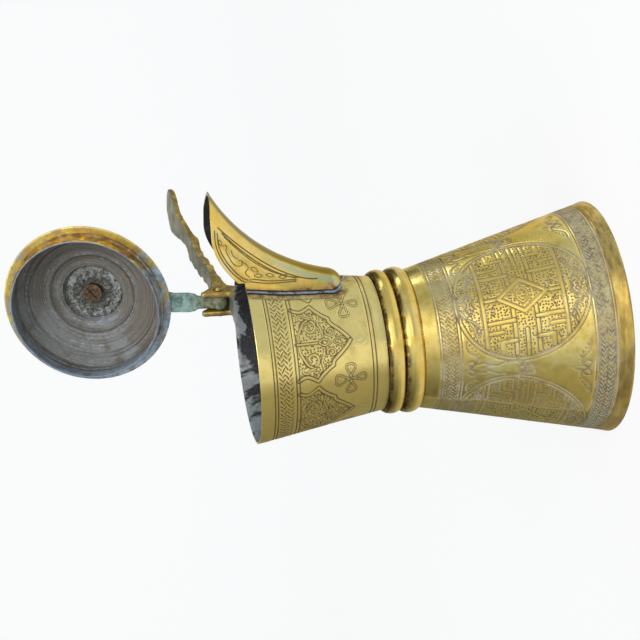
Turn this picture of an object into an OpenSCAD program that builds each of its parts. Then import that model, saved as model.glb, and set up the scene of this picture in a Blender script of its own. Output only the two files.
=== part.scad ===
// Side-handled brass coffee pot with a beak spout and a lid hinged to the handle.
// Millimetres, +Z up. The origin is the centre of the foot, on the resting plane.
// The spout points near +X and the hinge lies at +Y, so the lid turns about a line along X.

/* [Body] */
// Radius of the foot, outside
foot_r = 66; // [60:0.5:72]
// Radius of the cone where it meets the waist
waist_r = 39; // [36:0.5:42]
// Height of the lower cone
cone_h = 108; // [100:1:120]
// Height of the lower waist ring
lower_ring_h = 10.8; // [9:0.2:12]
// Height of the upper waist ring
upper_ring_h = 9.2; // [8:0.2:11]
// Thickness of the beaten sheet
sheet = 1.2; // [1:0.1:1.6]

/* [Neck] */
// Outside radius at the bottom of the neck
neck_foot_r = 37.8; // [36.5:0.1:38.4]
// Outside radius of the rim
rim_r = 48.3; // [47.8:0.1:48.8]
// Height of the flaring neck, from the upper ring to the rim
neck_h = 72; // [68:1:76]

/* [Spout] */
// Turn of the spout from +X
spout_turn = 9; // [0:1:15]
// Half width of the spout where its sides run straight
spout_half_w = 19.6; // [17:0.2:21]
// Depth of the trough's curved part, from the keel
spout_depth = 17; // [15:0.5:22]
// Radius of the long curve of the keel
keel_r = 95; // [92:0.5:98]
// Radius of the blunt foot of the spout
spout_foot_r = 9; // [8:0.5:11]
// Rise of the lips above the rim
lip_rise = 15.8; // [10:0.2:16]
// Width of the solder strip round the seam
solder_w = 2.3; // [1.5:0.1:3]

/* [Lid] */
// How far the lid stands open
lid_open = 105; // [0:1:105]
// Radius of the brim
brim_r = 50.3; // [49.5:0.1:50.8]
// Outside radius of the sleeve that drops into the neck
sleeve_r = 45.2; // [44.6:0.1:45.3]
// Depth of the sleeve below the brim
sleeve_depth = 9; // [6:0.5:10]
// Height of the crown above the brim
crown_h = 21; // [19:0.5:24]
// Height of the finial
finial_h = 27; // [22:1:32]

/* [Hinge] */
// Distance of the hinge pin from the pot's axis
hinge_reach = 79; // [78:0.5:81]
// Height of the hinge pin above the rim
hinge_rise = 4.7; // [4.5:0.1:5.2]
// Radius of the hinge pin
pin_r = 1.75; // [1.5:0.05:2]
// Gap all round the pin in the strap's eye
pin_gap = 0.05; // [0.03:0.01:0.08]
// Half width of the gap between the two lugs
fork_half_gap = 4.3; // [4.2:0.1:4.6]
// Half width over the two lugs
fork_half_w = 7.9; // [7.4:0.1:8.4]

/* [Handle] */
// Length of the handle beyond the pin
handle_l = 137; // [130:1:150]
// Swing of the handle from the hinge line towards the spout
handle_swing = 7; // [0:1:10]
// Rise of the handle over its length
handle_rise = 14.5; // [10:0.5:18]
// Greatest half width of the leaf at the end
leaf_half_w = 10; // [7:0.2:11]
// Twist of the bar, the spout side down
handle_roll = 9; // [0:1:12]

/* [Hidden] */

$fn = 96;
arc_steps = 10;

lower_ring_z = cone_h;
upper_ring_z = cone_h + lower_ring_h;
neck_z = upper_ring_z + upper_ring_h;
rim_z = neck_z + neck_h;
pin_z = rim_z + hinge_rise;

spigot_r = neck_foot_r - 0.8;
collar_r = spigot_r + sheet;
spigot_z = cone_h - 4;
slant_wall = 1.04 * sheet;

base_t = 1.6;

keel_x = 138.2;
keel_z = rim_z - 71.1;
join_turn = 13.5;
lip_start = 44.4;
lip_peak = 73;
lip_fall = 2.2;
lid_clear_r = brim_r + 0.7;
spout_low_z = rim_z - 58;
solder_t = 0.5;
solder_gap = 0.03;

plate_t = 2.4;
rivet_r = 1.8;
rivet_head_r = 3.4;
stud_z = rim_z - 14;
rivet_z = rim_z - 37.4;
stud_end = 56;

eye_r = 4.6;
strap_t = 3.2;
strap_half_w = 6.2;
tongue_half_w = fork_half_gap - 0.3;
strap_rivet_x = 3.2;
strap_rivet_y = 43.6;

disc_r = 17;
disc_t = 1.5;
screw_r = 2.75;
screw_head_r = 5.7;
screw_head_h = 2.6;
slot_turn = 136;
crown_top = rim_z + crown_h;
crown_in = crown_top - sheet;

brass = [0.82, 0.64, 0.24];
dark_brass = [0.66, 0.50, 0.20];
tin = [0.42, 0.41, 0.39];
solder = [0.55, 0.58, 0.63];
verdigris = [0.36, 0.55, 0.52];

// Points of an arc about [cx, cy] from angle a to angle b.
function arc(cx, cy, r, a, b, n = arc_steps) =
    [for (i = [0 : n]) let (t = a + (b - a) * i / n) [cx + r * cos(t), cy + r * sin(t)]];

// A raised-cosine bump of height h about c, nothing beyond half span s.
function bump(x, c, s, h) = abs(x - c) < s ? h * (1 + cos(180 * (x - c) / s)) / 2 : 0;

// A smooth step from 0 at a to 1 at b.
function ramp(x, a, b) = x <= a ? 0 : x >= b ? 1 : (1 - cos(180 * (x - a) / (b - a))) / 2;

function reversed(v) = [for (i = [len(v) - 1 : -1 : 0]) v[i]];

function neck_r(z) = neck_foot_r + (rim_r - neck_foot_r) * (z - neck_z) / neck_h;

// ---- pot ----

module lower_body() {
    // a cone of beaten sheet with a turned-in collar that the neck's spigot stands in
    color(brass) rotate_extrude()
        polygon([[foot_r, 0], [waist_r, cone_h], [collar_r, cone_h], [collar_r, upper_ring_z],
                 [spigot_r, upper_ring_z], [spigot_r, cone_h - 1.5],
                 [waist_r - slant_wall, cone_h - 1.5], [foot_r - slant_wall, 0]]);
}

function body_inner_r(z) = foot_r - slant_wall - (foot_r - waist_r) * z / (cone_h - 1.5);

module base_plate() {
    // flush with the foot
    color(dark_brass) cylinder(h = base_t, r1 = body_inner_r(0), r2 = body_inner_r(base_t));
}

// A moulded ring whose outside swells from its edge to its peak.
module waist_ring(z, h, inner_r, edge_r, peak_r) {
    rise = peak_r - edge_r;
    color(brass) rotate_extrude()
        polygon(concat([[inner_r, z], [inner_r, z + h]],
                       [for (i = [0 : 2 * arc_steps])
                           let (t = 1 - i / arc_steps)
                           [edge_r + rise * pow(1 - t * t, 0.7), z + h * (1 + t) / 2]]));
}

module lower_waist_ring() {
    waist_ring(lower_ring_z, lower_ring_h, collar_r, collar_r + 0.2, collar_r + 3);
}

module upper_waist_ring() {
    waist_ring(upper_ring_z, upper_ring_h, spigot_r, collar_r + 0.2, collar_r + 2.4);
}

module neck_cone(grow = 0) {
    translate([0, 0, neck_z])
        cylinder(h = neck_h, r1 = neck_foot_r + grow, r2 = rim_r + grow);
}

module neck() {
    color(brass) difference() {
        rotate_extrude()
            polygon([[spigot_r, spigot_z], [spigot_r, neck_z], [neck_foot_r, neck_z],
                     [rim_r, rim_z], [rim_r - sheet, rim_z], [spigot_r - sheet, neck_z],
                     [spigot_r - sheet, spigot_z]]);
        place_spout() trough(sheet);
        for (z = [stud_z, rivet_z])
            translate([0, 0, z]) rotate([-90, 0, 0]) cylinder(h = 70, r = rivet_r);
    }
}

// ---- spout ----

module place_spout() {
    rotate([0, 0, spout_turn]) children();
}

// Cross-section of the filled trough, swept about the keel's centre; inset thins it.
module keel_section(inset) {
    d = spout_depth - inset;
    w = spout_half_w - inset;
    half = [for (i = [0 : arc_steps])
               let (t = 90 * i / arc_steps) [keel_r + inset + d * (1 - cos(t)), w * sin(t)]];
    polygon(concat(half, [[keel_r + 60, w], [keel_r + 60, -w]],
                   [for (p = reversed(half)) if (p[1] > 0) [p[0], -p[1]]]));
}

// The same section, seen from the centre of the blunt foot's curve.
module foot_section(inset) {
    d = spout_depth - inset;
    w = spout_half_w - inset;
    r = spout_foot_r - inset;
    last = acos(1 - r / d);
    half = [for (i = [0 : arc_steps])
               let (t = last * i / arc_steps) [max(0, r - d * (1 - cos(t))), w * sin(t)]];
    polygon(concat(half, [for (p = reversed(half)) if (p[1] > 0) [p[0], -p[1]]]));
}

// Filled trough from the blunt foot to beyond the tip.
module trough(inset) {
    foot_x = keel_x - (keel_r + spout_foot_r) * cos(join_turn);
    foot_z = keel_z + (keel_r + spout_foot_r) * sin(join_turn);
    union() {
        translate([keel_x, 0, keel_z]) rotate([90, 0, 0]) rotate([0, 0, 95])
            rotate_extrude(angle = 85 - join_turn) keel_section(inset);
        translate([foot_x, 0, foot_z]) rotate([90, 0, 0]) rotate([0, 0, -join_turn - 110])
            rotate_extrude(angle = 125) foot_section(inset);
    }
}

// Side outline below the lips: they rise from the rim to a round crest and sink a little to the tip.
module lip_outline() {
    shoulder = [for (i = [0 : arc_steps])
                   [lip_start + (lip_peak - lip_start) * i / arc_steps,
                    rim_z + lip_rise * pow(sin(90 * i / arc_steps), 0.88)]];
    polygon(concat([[25, spout_low_z], [25, rim_z]], shoulder,
                   [[84, rim_z + lip_rise - 0.25 * lip_fall], [95, rim_z + lip_rise - lip_fall],
                    [120, rim_z + lip_rise - 3 * lip_fall], [120, spout_low_z]]));
}

module spout() {
    color(brass) place_spout() difference() {
        intersection() {
            trough(0);
            rotate([90, 0, 0]) linear_extrude(60, center = true) lip_outline();
        }
        trough(sheet);
        neck_cone();
        translate([0, 0, rim_z]) cylinder(h = 30, r = lid_clear_r);
    }
}

module spout_solder() {
    low = spout_low_z - 4;
    high = rim_z - 0.3;
    color(solder) place_spout() difference() {
        intersection() {
            rotate_extrude()
                polygon([[neck_r(low) + solder_gap, low], [neck_r(low) + solder_t, low],
                         [neck_r(high) + solder_t, high], [neck_r(high) + solder_gap, high]]);
            trough(-solder_w);
        }
        trough(0);
    }
}

// ---- handle ----

// Half width of the cast bar at distance s beyond the pin.
function bar_half_w(s) =
    let (body = 4.6 + bump(s, 0, 28, 3.3) + bump(s, 32, 4.5, 2) + bump(s, 40, 5, 2.4)
                + bump(s, 48.5, 5, 2) + bump(s, 62, 14, 2.4) + bump(s, 112, 39, leaf_half_w - 4.6),
         tip = handle_l - 7)
    s < tip ? body : body * sqrt(max(0, 1 - pow((s - tip) / 7, 2)));

// Height of the middle of the bar, and its thickness.
function bar_mid(s) = pin_z + handle_rise * (0.5 * ramp(s, 16, 60) + 0.5 * ramp(s, 64, 104));
function bar_t(s) = 5 + 4 * (1 - ramp(s, 0, 34)) + bump(s, 62, 18, 0.8) - 1.4 * ramp(s, 72, handle_l);

bar_start = 6;
bar_steps = 40;
bar_s = [for (i = [0 : bar_steps]) bar_start + (handle_l - bar_start) * i / bar_steps];

module handle_bar() {
    translate([0, hinge_reach, pin_z]) rotate([0, 0, 90 - handle_swing])
        rotate([handle_roll, 0, 0]) translate([0, 0, -pin_z]) intersection() {
        rotate([90, 0, 0]) linear_extrude(40, center = true)
            polygon(concat([for (s = bar_s) [s, bar_mid(s) + bar_t(s) / 2]],
                           [for (s = reversed(bar_s)) [s, bar_mid(s) - bar_t(s) / 2]]));
        translate([0, 0, rim_z - 20]) linear_extrude(60)
            polygon(concat([for (s = bar_s) [s, bar_half_w(s)]],
                           [for (s = reversed(bar_s)) if (s < handle_l) [s, -bar_half_w(s)]]));
    }
}

// Side outline of the arm that carries the fork, from the neck to behind the pin.
module arm_outline() {
    y0 = neck_r(rim_z - 40) - 2;
    polygon(concat([[y0, rim_z - 34], [rim_r - 1, rim_z - 34]],
                   arc(rim_r + 13, rim_z - 34, 13, 180, 118, 6),
                   [[hinge_reach + 1, rim_z - 8.5]],
                   [for (s = [7, 14, 20]) [hinge_reach + s, bar_mid(s) - bar_t(s) / 2 + 0.6]],
                   [[hinge_reach + 20, bar_mid(20) + 2], [hinge_reach + 6.2, pin_z + 4.4],
                    [hinge_reach + 5.4, pin_z - 3], [hinge_reach + 3, rim_z - 0.6],
                    [hinge_reach - 6, rim_z - 1.2], [y0, rim_z - 1.2]]));
}

// Side outline of a lug: round about the pin with a horn that leans to the pot.
module lug_outline() {
    union() {
        circle(r = 6.3);
        translate([-2.6, 9]) circle(r = 2.4);
        polygon([[-6.15, 1.4], [-4.98, 9.3], [-0.45, 10.1], [5.6, 2.9]]);
        polygon([[-7, -9.5], [-6.2, 1], [6.2, 1], [9, -5]]);
    }
}

module handle() {
    color(dark_brass) difference() {
        union() {
            // shield plate that hugs the neck
            intersection() {
                difference() {
                    neck_cone(plate_t);
                    neck_cone();
                }
                translate([0, 0, rim_z - 44]) rotate([-90, 0, 0]) mirror([0, 1, 0])
                    linear_extrude(80)
                    polygon(concat([[10.5, 40.5], [-10.5, 40.5]],
                                   arc(-10.5 + 22, 22, 22, 180, 238, 6),
                                   [[0, 0]], arc(10.5 - 22, 22, 22, -58, 0, 6)));
            }
            difference() {
                rotate([90, 0, 90]) linear_extrude(2 * fork_half_w, center = true) arm_outline();
                neck_cone(plate_t / 2);
            }
            for (side = [-1, 1])
                translate([side * (fork_half_w + fork_half_gap) / 2, hinge_reach, pin_z])
                    rotate([90, 0, 90])
                    linear_extrude(fork_half_w - fork_half_gap, center = true) lug_outline();
            handle_bar();
        }
        // slot for the strap's eye
        translate([-fork_half_gap, hinge_reach - 12, rim_z - 0.9])
            cube([2 * fork_half_gap, 17.4, 30]);
        translate([0, hinge_reach, pin_z]) rotate([0, 90, 0])
            cylinder(h = 30, r = pin_r, center = true);
        for (z = [stud_z, rivet_z])
            translate([0, 0, z]) rotate([-90, 0, 0]) cylinder(h = stud_end, r = rivet_r);
    }
}

// Shank from inside the neck outwards, hammered to a head on the neck's inner face.
module rivet_shank(z, end) {
    wall = neck_r(z);
    translate([0, 0, z]) rotate([-90, 0, 0]) {
        translate([0, 0, wall - 2.8]) cylinder(h = end - wall + 2.8, r = rivet_r);
        translate([0, 0, wall - 3.3]) cylinder(h = 1.2, r1 = 2, r2 = rivet_head_r);
    }
}

// The upper one is a blind stud in the arm; the lower one has a head on the plate too.
module handle_rivets() {
    wall = neck_r(rivet_z) + plate_t;
    color(brass) {
        rivet_shank(stud_z, stud_end - 0.05);
        union() {
            rivet_shank(rivet_z, wall + 0.6);
            difference() {
                translate([0, 0, rivet_z]) rotate([-90, 0, 0]) translate([0, 0, wall - 1])
                    cylinder(h = 2.2, r1 = rivet_head_r - 0.4, r2 = 1.8);
                neck_cone(plate_t);
            }
        }
    }
}

module hinge_pin() {
    head = 1.3;
    color(dark_brass) translate([0, hinge_reach, pin_z]) rotate([0, 90, 0]) {
        cylinder(h = 2 * fork_half_w, r = pin_r, center = true);
        for (side = [0, 1])
            mirror([0, 0, side]) translate([0, 0, fork_half_w])
                cylinder(h = head, r1 = pin_r + 1.3, r2 = pin_r + 0.6);
    }
}

// ---- lid, drawn closed and turned about the pin ----

module place_lid() {
    translate([0, hinge_reach, pin_z]) rotate([-lid_open, 0, 0])
        translate([0, -hinge_reach, -pin_z]) children();
}

// Outside of the stepped crown from the brim's edge to the axis; t pulls it inwards.
function crown_profile(t) =
    let (z = rim_z)
    concat(arc(41.4 - t, z + 3.6 - t / 2, 5.2, 0, 80, 8),
           [[39.6 - t, z + 9 - t], [38.9 - t, z + 11 - t]],
           [for (i = [0 : 10]) let (u = i / 10)
               [38.4 - t - (38.4 - 19.5) * u, z + 11.6 - t + 5.6 * sin(90 * u)]],
           arc(19.5 - t, z + crown_h - 1.8 - t, 1.8, 0, 90, 4));

module crown_solid(t) {
    profile = crown_profile(t);
    rotate_extrude()
        polygon(concat([[0, rim_z - 1], [profile[0][0], rim_z - 1]], profile,
                       [[0, crown_top - t]]));
}

module lid_dome() {
    color(brass) place_lid() difference() {
        union() {
            intersection() {
                crown_solid(0);
                translate([0, 0, rim_z]) cylinder(h = 60, r = brim_r);
            }
            translate([0, 0, rim_z]) cylinder(h = sheet, r = brim_r);
        }
        crown_solid(sheet);
        translate([0, 0, rim_z - 1]) cylinder(h = 4.6, r = sleeve_r);
        translate([0, 0, rim_z]) cylinder(h = 60, r = screw_r);
        for (side = [-1, 1])
            translate([side * strap_rivet_x, strap_rivet_y, rim_z]) cylinder(h = 30, r = rivet_r / 2);
    }
}

module lid_sleeve() {
    color(tin) place_lid() translate([0, 0, rim_z - sleeve_depth]) difference() {
        cylinder(h = sleeve_depth + 3.6, r = sleeve_r);
        translate([0, 0, -1]) cylinder(h = sleeve_depth + 6, r = sleeve_r - sheet);
    }
}

// Plan of the strap: a wide shouldered root on the crown, then a narrow tongue to the eye.
module strap_plan() {
    near = hinge_reach - 17;
    root = [[0, 38.5], [3.4, 39.4], [strap_half_w, 42.5], [strap_half_w, near],
            [strap_half_w - 0.6, near + 1], [strap_half_w - 0.2, near + 2],
            [tongue_half_w + 0.9, near + 3.4], [tongue_half_w, near + 5],
            [tongue_half_w, hinge_reach]];
    polygon(concat(root, [for (p = reversed(root)) if (p[0] > 0) [-p[0], p[1]]]));
}

// Side of the strap from the eye over the brim and up onto the crown's shoulder.
module strap_side() {
    bottom = rim_z + sheet;
    top = bottom + strap_t;
    rotate([90, 0, 90]) linear_extrude(40, center = true)
        polygon([[36, bottom], [hinge_reach, bottom], [hinge_reach, pin_z],
                 [hinge_reach - eye_r, top], [52.5, top - 0.4], [48.5, top + 1.2],
                 [44.8, rim_z + 9.9], [40.5, rim_z + 11.4], [36, rim_z + 11.6]]);
}

module lid_strap() {
    color(verdigris) place_lid() difference() {
        union() {
            difference() {
                intersection() {
                    translate([0, 0, rim_z + sheet]) linear_extrude(20) strap_plan();
                    strap_side();
                }
                crown_solid(0);
            }
            translate([0, hinge_reach, pin_z]) rotate([0, 90, 0])
                cylinder(h = 2 * tongue_half_w, r = eye_r, center = true);
        }
        translate([0, hinge_reach, pin_z]) rotate([0, 90, 0])
            cylinder(h = 30, r = pin_r + pin_gap, center = true);
        for (side = [-1, 1])
            translate([side * strap_rivet_x, strap_rivet_y, rim_z]) cylinder(h = 30, r = rivet_r / 2);
    }
}

// Rivets through the strap and the crown, with a head outside and one inside the lid.
module strap_rivets() {
    r = rivet_r / 2;
    inside = rim_z + 5.2;
    color(dark_brass) place_lid() for (side = [-1, 1])
        translate([side * strap_rivet_x, strap_rivet_y, 0]) {
            translate([0, 0, inside]) cylinder(h = 6, r = r);
            difference() {
                translate([0, 0, rim_z + 9.6]) cylinder(h = 2, r1 = 2 * r, r2 = r);
                translate([-side * strap_rivet_x, -strap_rivet_y, 0]) strap_side();
            }
            difference() {
                translate([0, 0, inside]) cylinder(h = 4, r = 2 * r);
                translate([-side * strap_rivet_x, -strap_rivet_y, 0]) difference() {
                    translate([0, 0, rim_z]) cylinder(h = 40, r = 60);
                    crown_solid(sheet);
                }
            }
        }
}

module lid_backing_disc() {
    color(tin) place_lid() translate([0, 0, crown_in - disc_t]) difference() {
        cylinder(h = disc_t, r = disc_r);
        translate([0, 0, -1]) cylinder(h = disc_t + 2, r = screw_r);
    }
}

// A turned knob: collar, waist, ball and pointed tip.
module finial() {
    r0 = 8;
    ball = 7.2;
    ball_z = 11.5;
    color(brass) place_lid() translate([0, 0, crown_top]) difference() {
        rotate_extrude()
            polygon(concat([[0, 0], [r0, 0], [r0, 1.2], [r0 - 1.6, 2.6], [3.6, 3.6]],
                           arc(0, ball_z, ball, -60, 66, 14),
                           arc(0, ball_z + ball + 2, 3.3, -35, 40, 6),
                           [[1.3, ball_z + ball + 5.2], [0, finial_h]]));
        translate([0, 0, -1]) cylinder(h = 9.4, r = screw_r);
    }
}

// Slotted screw that holds the finial from inside the lid.
module finial_screw() {
    seat = crown_in - disc_t;
    color(dark_brass) place_lid() difference() {
        union() {
            translate([0, 0, seat - screw_head_h]) rotate_extrude()
                polygon(concat([[0, screw_head_h], [screw_head_r, screw_head_h]],
                               [for (t = [0 : 15 : 90])
                                   [screw_head_r * cos(t), 0.8 * (1 - sin(t))]]));
            translate([0, 0, seat]) cylinder(h = crown_top + 8 - seat, r = screw_r);
        }
        rotate([0, 0, slot_turn]) translate([-10, -0.6, seat - screw_head_h - 1]) cube([20, 1.2, 2.2]);
    }
}

lower_body();
base_plate();
lower_waist_ring();
upper_waist_ring();
neck();
spout();
spout_solder();
handle();
handle_rivets();
hinge_pin();
lid_dome();
lid_sleeve();
lid_strap();
strap_rivets();
lid_backing_disc();
finial();
finial_screw();
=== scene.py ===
import math

import bmesh
import bpy
import numpy as np
from mathutils import Matrix, Vector


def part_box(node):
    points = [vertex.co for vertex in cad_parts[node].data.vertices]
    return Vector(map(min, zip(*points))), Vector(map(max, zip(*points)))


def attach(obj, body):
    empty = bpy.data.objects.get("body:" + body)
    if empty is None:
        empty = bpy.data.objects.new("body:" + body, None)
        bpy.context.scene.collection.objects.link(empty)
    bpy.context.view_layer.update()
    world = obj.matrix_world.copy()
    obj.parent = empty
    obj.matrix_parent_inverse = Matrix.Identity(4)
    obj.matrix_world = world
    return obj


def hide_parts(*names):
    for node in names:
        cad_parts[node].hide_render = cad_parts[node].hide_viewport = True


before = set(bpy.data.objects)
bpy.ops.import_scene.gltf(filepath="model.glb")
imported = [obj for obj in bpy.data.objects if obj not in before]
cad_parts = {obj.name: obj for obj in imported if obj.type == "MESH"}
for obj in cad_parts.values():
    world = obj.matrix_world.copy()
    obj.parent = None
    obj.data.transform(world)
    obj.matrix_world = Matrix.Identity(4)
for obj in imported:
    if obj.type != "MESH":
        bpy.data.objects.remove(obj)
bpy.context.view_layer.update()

# ---------------------------------------------------------------- sizes, in millimetres
MM = 0.001
FOOT_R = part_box("lower_body")[1][0] / MM
CONE_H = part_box("lower_waist_ring")[0][2] / MM
RING_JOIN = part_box("lower_waist_ring")[1][2] / MM
NECK_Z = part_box("upper_waist_ring")[1][2] / MM
RIM_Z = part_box("neck")[1][2] / MM
WAIST_R = 39.0
NECK_FOOT_R = 37.8
RIM_R = 48.3
SHEET = 1.2
SPIGOT_R = NECK_FOOT_R - 0.8
COLLAR_R = SPIGOT_R + SHEET
SPIGOT_Z = CONE_H - 4
LOW_BAND = (9.7, 17.6)
HIGH_BAND = (90.8, 98.3)
NECK_BAND = (181.8, 189.8)
BODY_RULES = (7.9, 9.2, 18.0, 19.5, 88.7, 90.3, 98.7, 100.1)
NECK_RULES = (192.3, 190.6, 180.1, 178.3, 137.0, 135.0)
DOT_PITCH = 1.7
BODY_CUT = 0.24
THIN_CUT = 0.22
COLUMNS = 600

SPOUT_TURN = math.radians(9)
SPOUT_W = 19.6
SPOUT_D = 17.0
KEEL_R = 95.0
KEEL_X = 138.2
KEEL_Z = RIM_Z - 71.1
JOIN_TURN = math.radians(13.5)
FOOT_ARC_R = 9.0
FOOT_ARC_X = KEEL_X - (KEEL_R + FOOT_ARC_R) * math.cos(JOIN_TURN)
FOOT_ARC_Z = KEEL_Z + (KEEL_R + FOOT_ARC_R) * math.sin(JOIN_TURN)
LIP_START = 44.4
LIP_PEAK = 73.0
LIP_RISE = 15.8
LIP_FALL = 2.2
LID_CLEAR_R = 51.7
MIRROR = (1, -1, 1)

PIN_Y = 79.0
PIN_Z = RIM_Z + 4.7
LID_OPEN = math.radians(105)
BRIM_R = 50.3
LINING_R = 45.6
SLEEVE_R = 45.2
SLEEVE_DEPTH = 9.0
CROWN_R = 19.5
CROWN_TOP = RIM_Z + 21.0
CEILING = CROWN_TOP - SHEET
SCREW_HOLE_R = 2.75

ROUNDEL_TURN = math.radians(-45)
ROUNDEL_Z = 54.3
ROUNDEL_R = 35.1
CARTOUCHE_TURN = math.radians(-58.5)

# ---------------------------------------------------------------- meshes


def grid_faces(rows, cols, wrap_rows=False):
    """Quads of a grid of vertices that is numbered row by row and joined across its first column."""
    r0, c0 = np.meshgrid(np.arange(rows if wrap_rows else rows - 1), np.arange(cols), indexing="ij")
    r1, c1 = (r0 + 1) % rows, (c0 + 1) % cols
    quads = np.stack([r0 * cols + c0, r0 * cols + c1, r1 * cols + c1, r1 * cols + c0], -1)
    return quads.reshape(-1, 4).tolist()


def add_piece(name, body, node, verts, faces, mats, attrs=None, face_mats=None, weld=0.0):
    """A piece from vertices in millimetres. An attribute given for the first vertices is 0 on the rest."""
    verts = np.asarray(verts, float).reshape(-1, 3) * MM
    mesh = bpy.data.meshes.new(name)
    mesh.from_pydata(verts.tolist(), [], faces)
    for key, given in (attrs or {}).items():
        values = np.zeros(len(verts), np.float32)
        values[:given.size] = given.ravel()
        mesh.attributes.new(key, "FLOAT", "POINT").data.foreach_set("value", values)
    for mat in mats:
        mesh.materials.append(mat)
    if face_mats is not None:
        mesh.polygons.foreach_set("material_index", np.ravel(face_mats).astype(np.int32))
    place_piece(name, body, node, mesh, weld)


def place_piece(name, body, node, mesh, weld=0.0):
    """A smooth object that rides on a body and stands for a CAD node."""
    work = bmesh.new()
    work.from_mesh(mesh)
    if weld:
        bmesh.ops.remove_doubles(work, verts=work.verts, dist=weld * MM)
        bmesh.ops.dissolve_degenerate(work, edges=work.edges, dist=1e-7)
    bmesh.ops.recalc_face_normals(work, faces=work.faces)
    work.to_mesh(mesh)
    work.free()
    mesh.polygons.foreach_set("use_smooth", [True] * len(mesh.polygons))
    piece = bpy.data.objects.new(name, mesh)
    bpy.context.scene.collection.objects.link(piece)
    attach(piece, body)
    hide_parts(node)


def smooth_step(x, low, high):
    """0 below low, 1 above high, and smooth between them."""
    t = np.clip((np.asarray(x, float) - low) / (high - low), 0, 1)
    return t * t * (3 - 2 * t)


def fade(x, low, high):
    """1 below low, 0 above high, and smooth between them."""
    return 1 - smooth_step(x, low, high)


def waves(turn, height, seed, size, count, spread):
    """Gentle unevenness between -1 and 0 that closes on itself round the pot, with up to spread lobes."""
    draw = np.random.default_rng(seed)
    total = np.zeros(np.broadcast(turn, height).shape)
    for _ in range(count):
        lobes = draw.integers(1, max(2, spread))
        pitch = draw.uniform(0.3, 1.0) * 2 * math.pi / size
        total = total + draw.uniform(0.4, 1.0) * np.cos(lobes * turn + draw.uniform(0, 6.28)) \
            * np.cos(pitch * height + draw.uniform(0, 6.28))
    return np.clip(total / math.sqrt(count) / 1.6, -1, 1) * 0.5 - 0.5


def around(cols):
    return np.linspace(0, 2 * math.pi, cols, endpoint=False)


def polar(r, turn, z):
    """Points at radii, turns and heights that broadcast together."""
    r, turn, z = np.broadcast_arrays(r, turn, z)
    return np.stack([r * np.cos(turn), r * np.sin(turn), z], -1)


def turned(points, angle):
    c, s = math.cos(angle), math.sin(angle)
    x, y, z = np.moveaxis(np.asarray(points, float), -1, 0)
    return np.stack([x * c - y * s, x * s + y * c, z], -1)


def unit(vectors):
    return vectors / np.maximum(np.linalg.norm(vectors, axis=-1, keepdims=True), 1e-9)


def open_lid(verts):
    """Swings points of the closed lid about the hinge pin to the open pose."""
    pin = Vector((0, PIN_Y, PIN_Z))
    swing = np.array(Matrix.Translation(pin) @ Matrix.Rotation(-LID_OPEN, 4, "X") @ Matrix.Translation(-pin))
    return np.asarray(verts, float).reshape(-1, 3) @ swing[:3, :3].T + swing[:3, 3]


def resample(profile, step):
    """Points every step or less along a polyline, keeping its corners."""
    out = [profile[0]]
    for a, b in zip(profile[:-1], profile[1:]):
        n = max(1, int(math.ceil(math.dist(a, b) / step)))
        out += [(a[0] + (b[0] - a[0]) * i / n, a[1] + (b[1] - a[1]) * i / n) for i in range(1, n + 1)]
    return np.array(out)


def arc_points(cx, cy, r, start, end, n):
    turns = np.radians(np.linspace(start, end, n + 1))
    return [(cx + r * math.cos(t), cy + r * math.sin(t)) for t in turns]


def body_r(z):
    return FOOT_R - (FOOT_R - WAIST_R) * np.asarray(z, float) / CONE_H


def neck_r(z):
    return NECK_FOOT_R + (RIM_R - NECK_FOOT_R) * (np.asarray(z, float) - NECK_Z) / (RIM_Z - NECK_Z)


# ---------------------------------------------------------------- engraving


def stroke(dist, width, outer=0.85):
    """Depth of a cut at a distance from its middle, from full depth near it to none at its outer edge."""
    return fade(dist, width * 0.2, width * outer)


def rule(dist, width=0.75):
    """Depth of a ruled line at a distance from it, on either side."""
    return fade(np.abs(dist), width * 0.15, width * 0.8)


def segment_distance(u, v, a, b):
    """Distance from points to the straight line between two corners."""
    d = b - a
    t = np.clip(((u - a[0]) * d[0] + (v - a[1]) * d[1]) / max(float(d @ d), 1e-9), 0, 1)
    return np.hypot(u - a[0] - t * d[0], v - a[1] - t * d[1])


def soften(field):
    rows = (np.roll(field, 1, 0) + 2 * field + np.roll(field, -1, 0)) / 4
    return (np.roll(rows, 1, 1) + 2 * rows + np.roll(rows, -1, 1)) / 4


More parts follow.
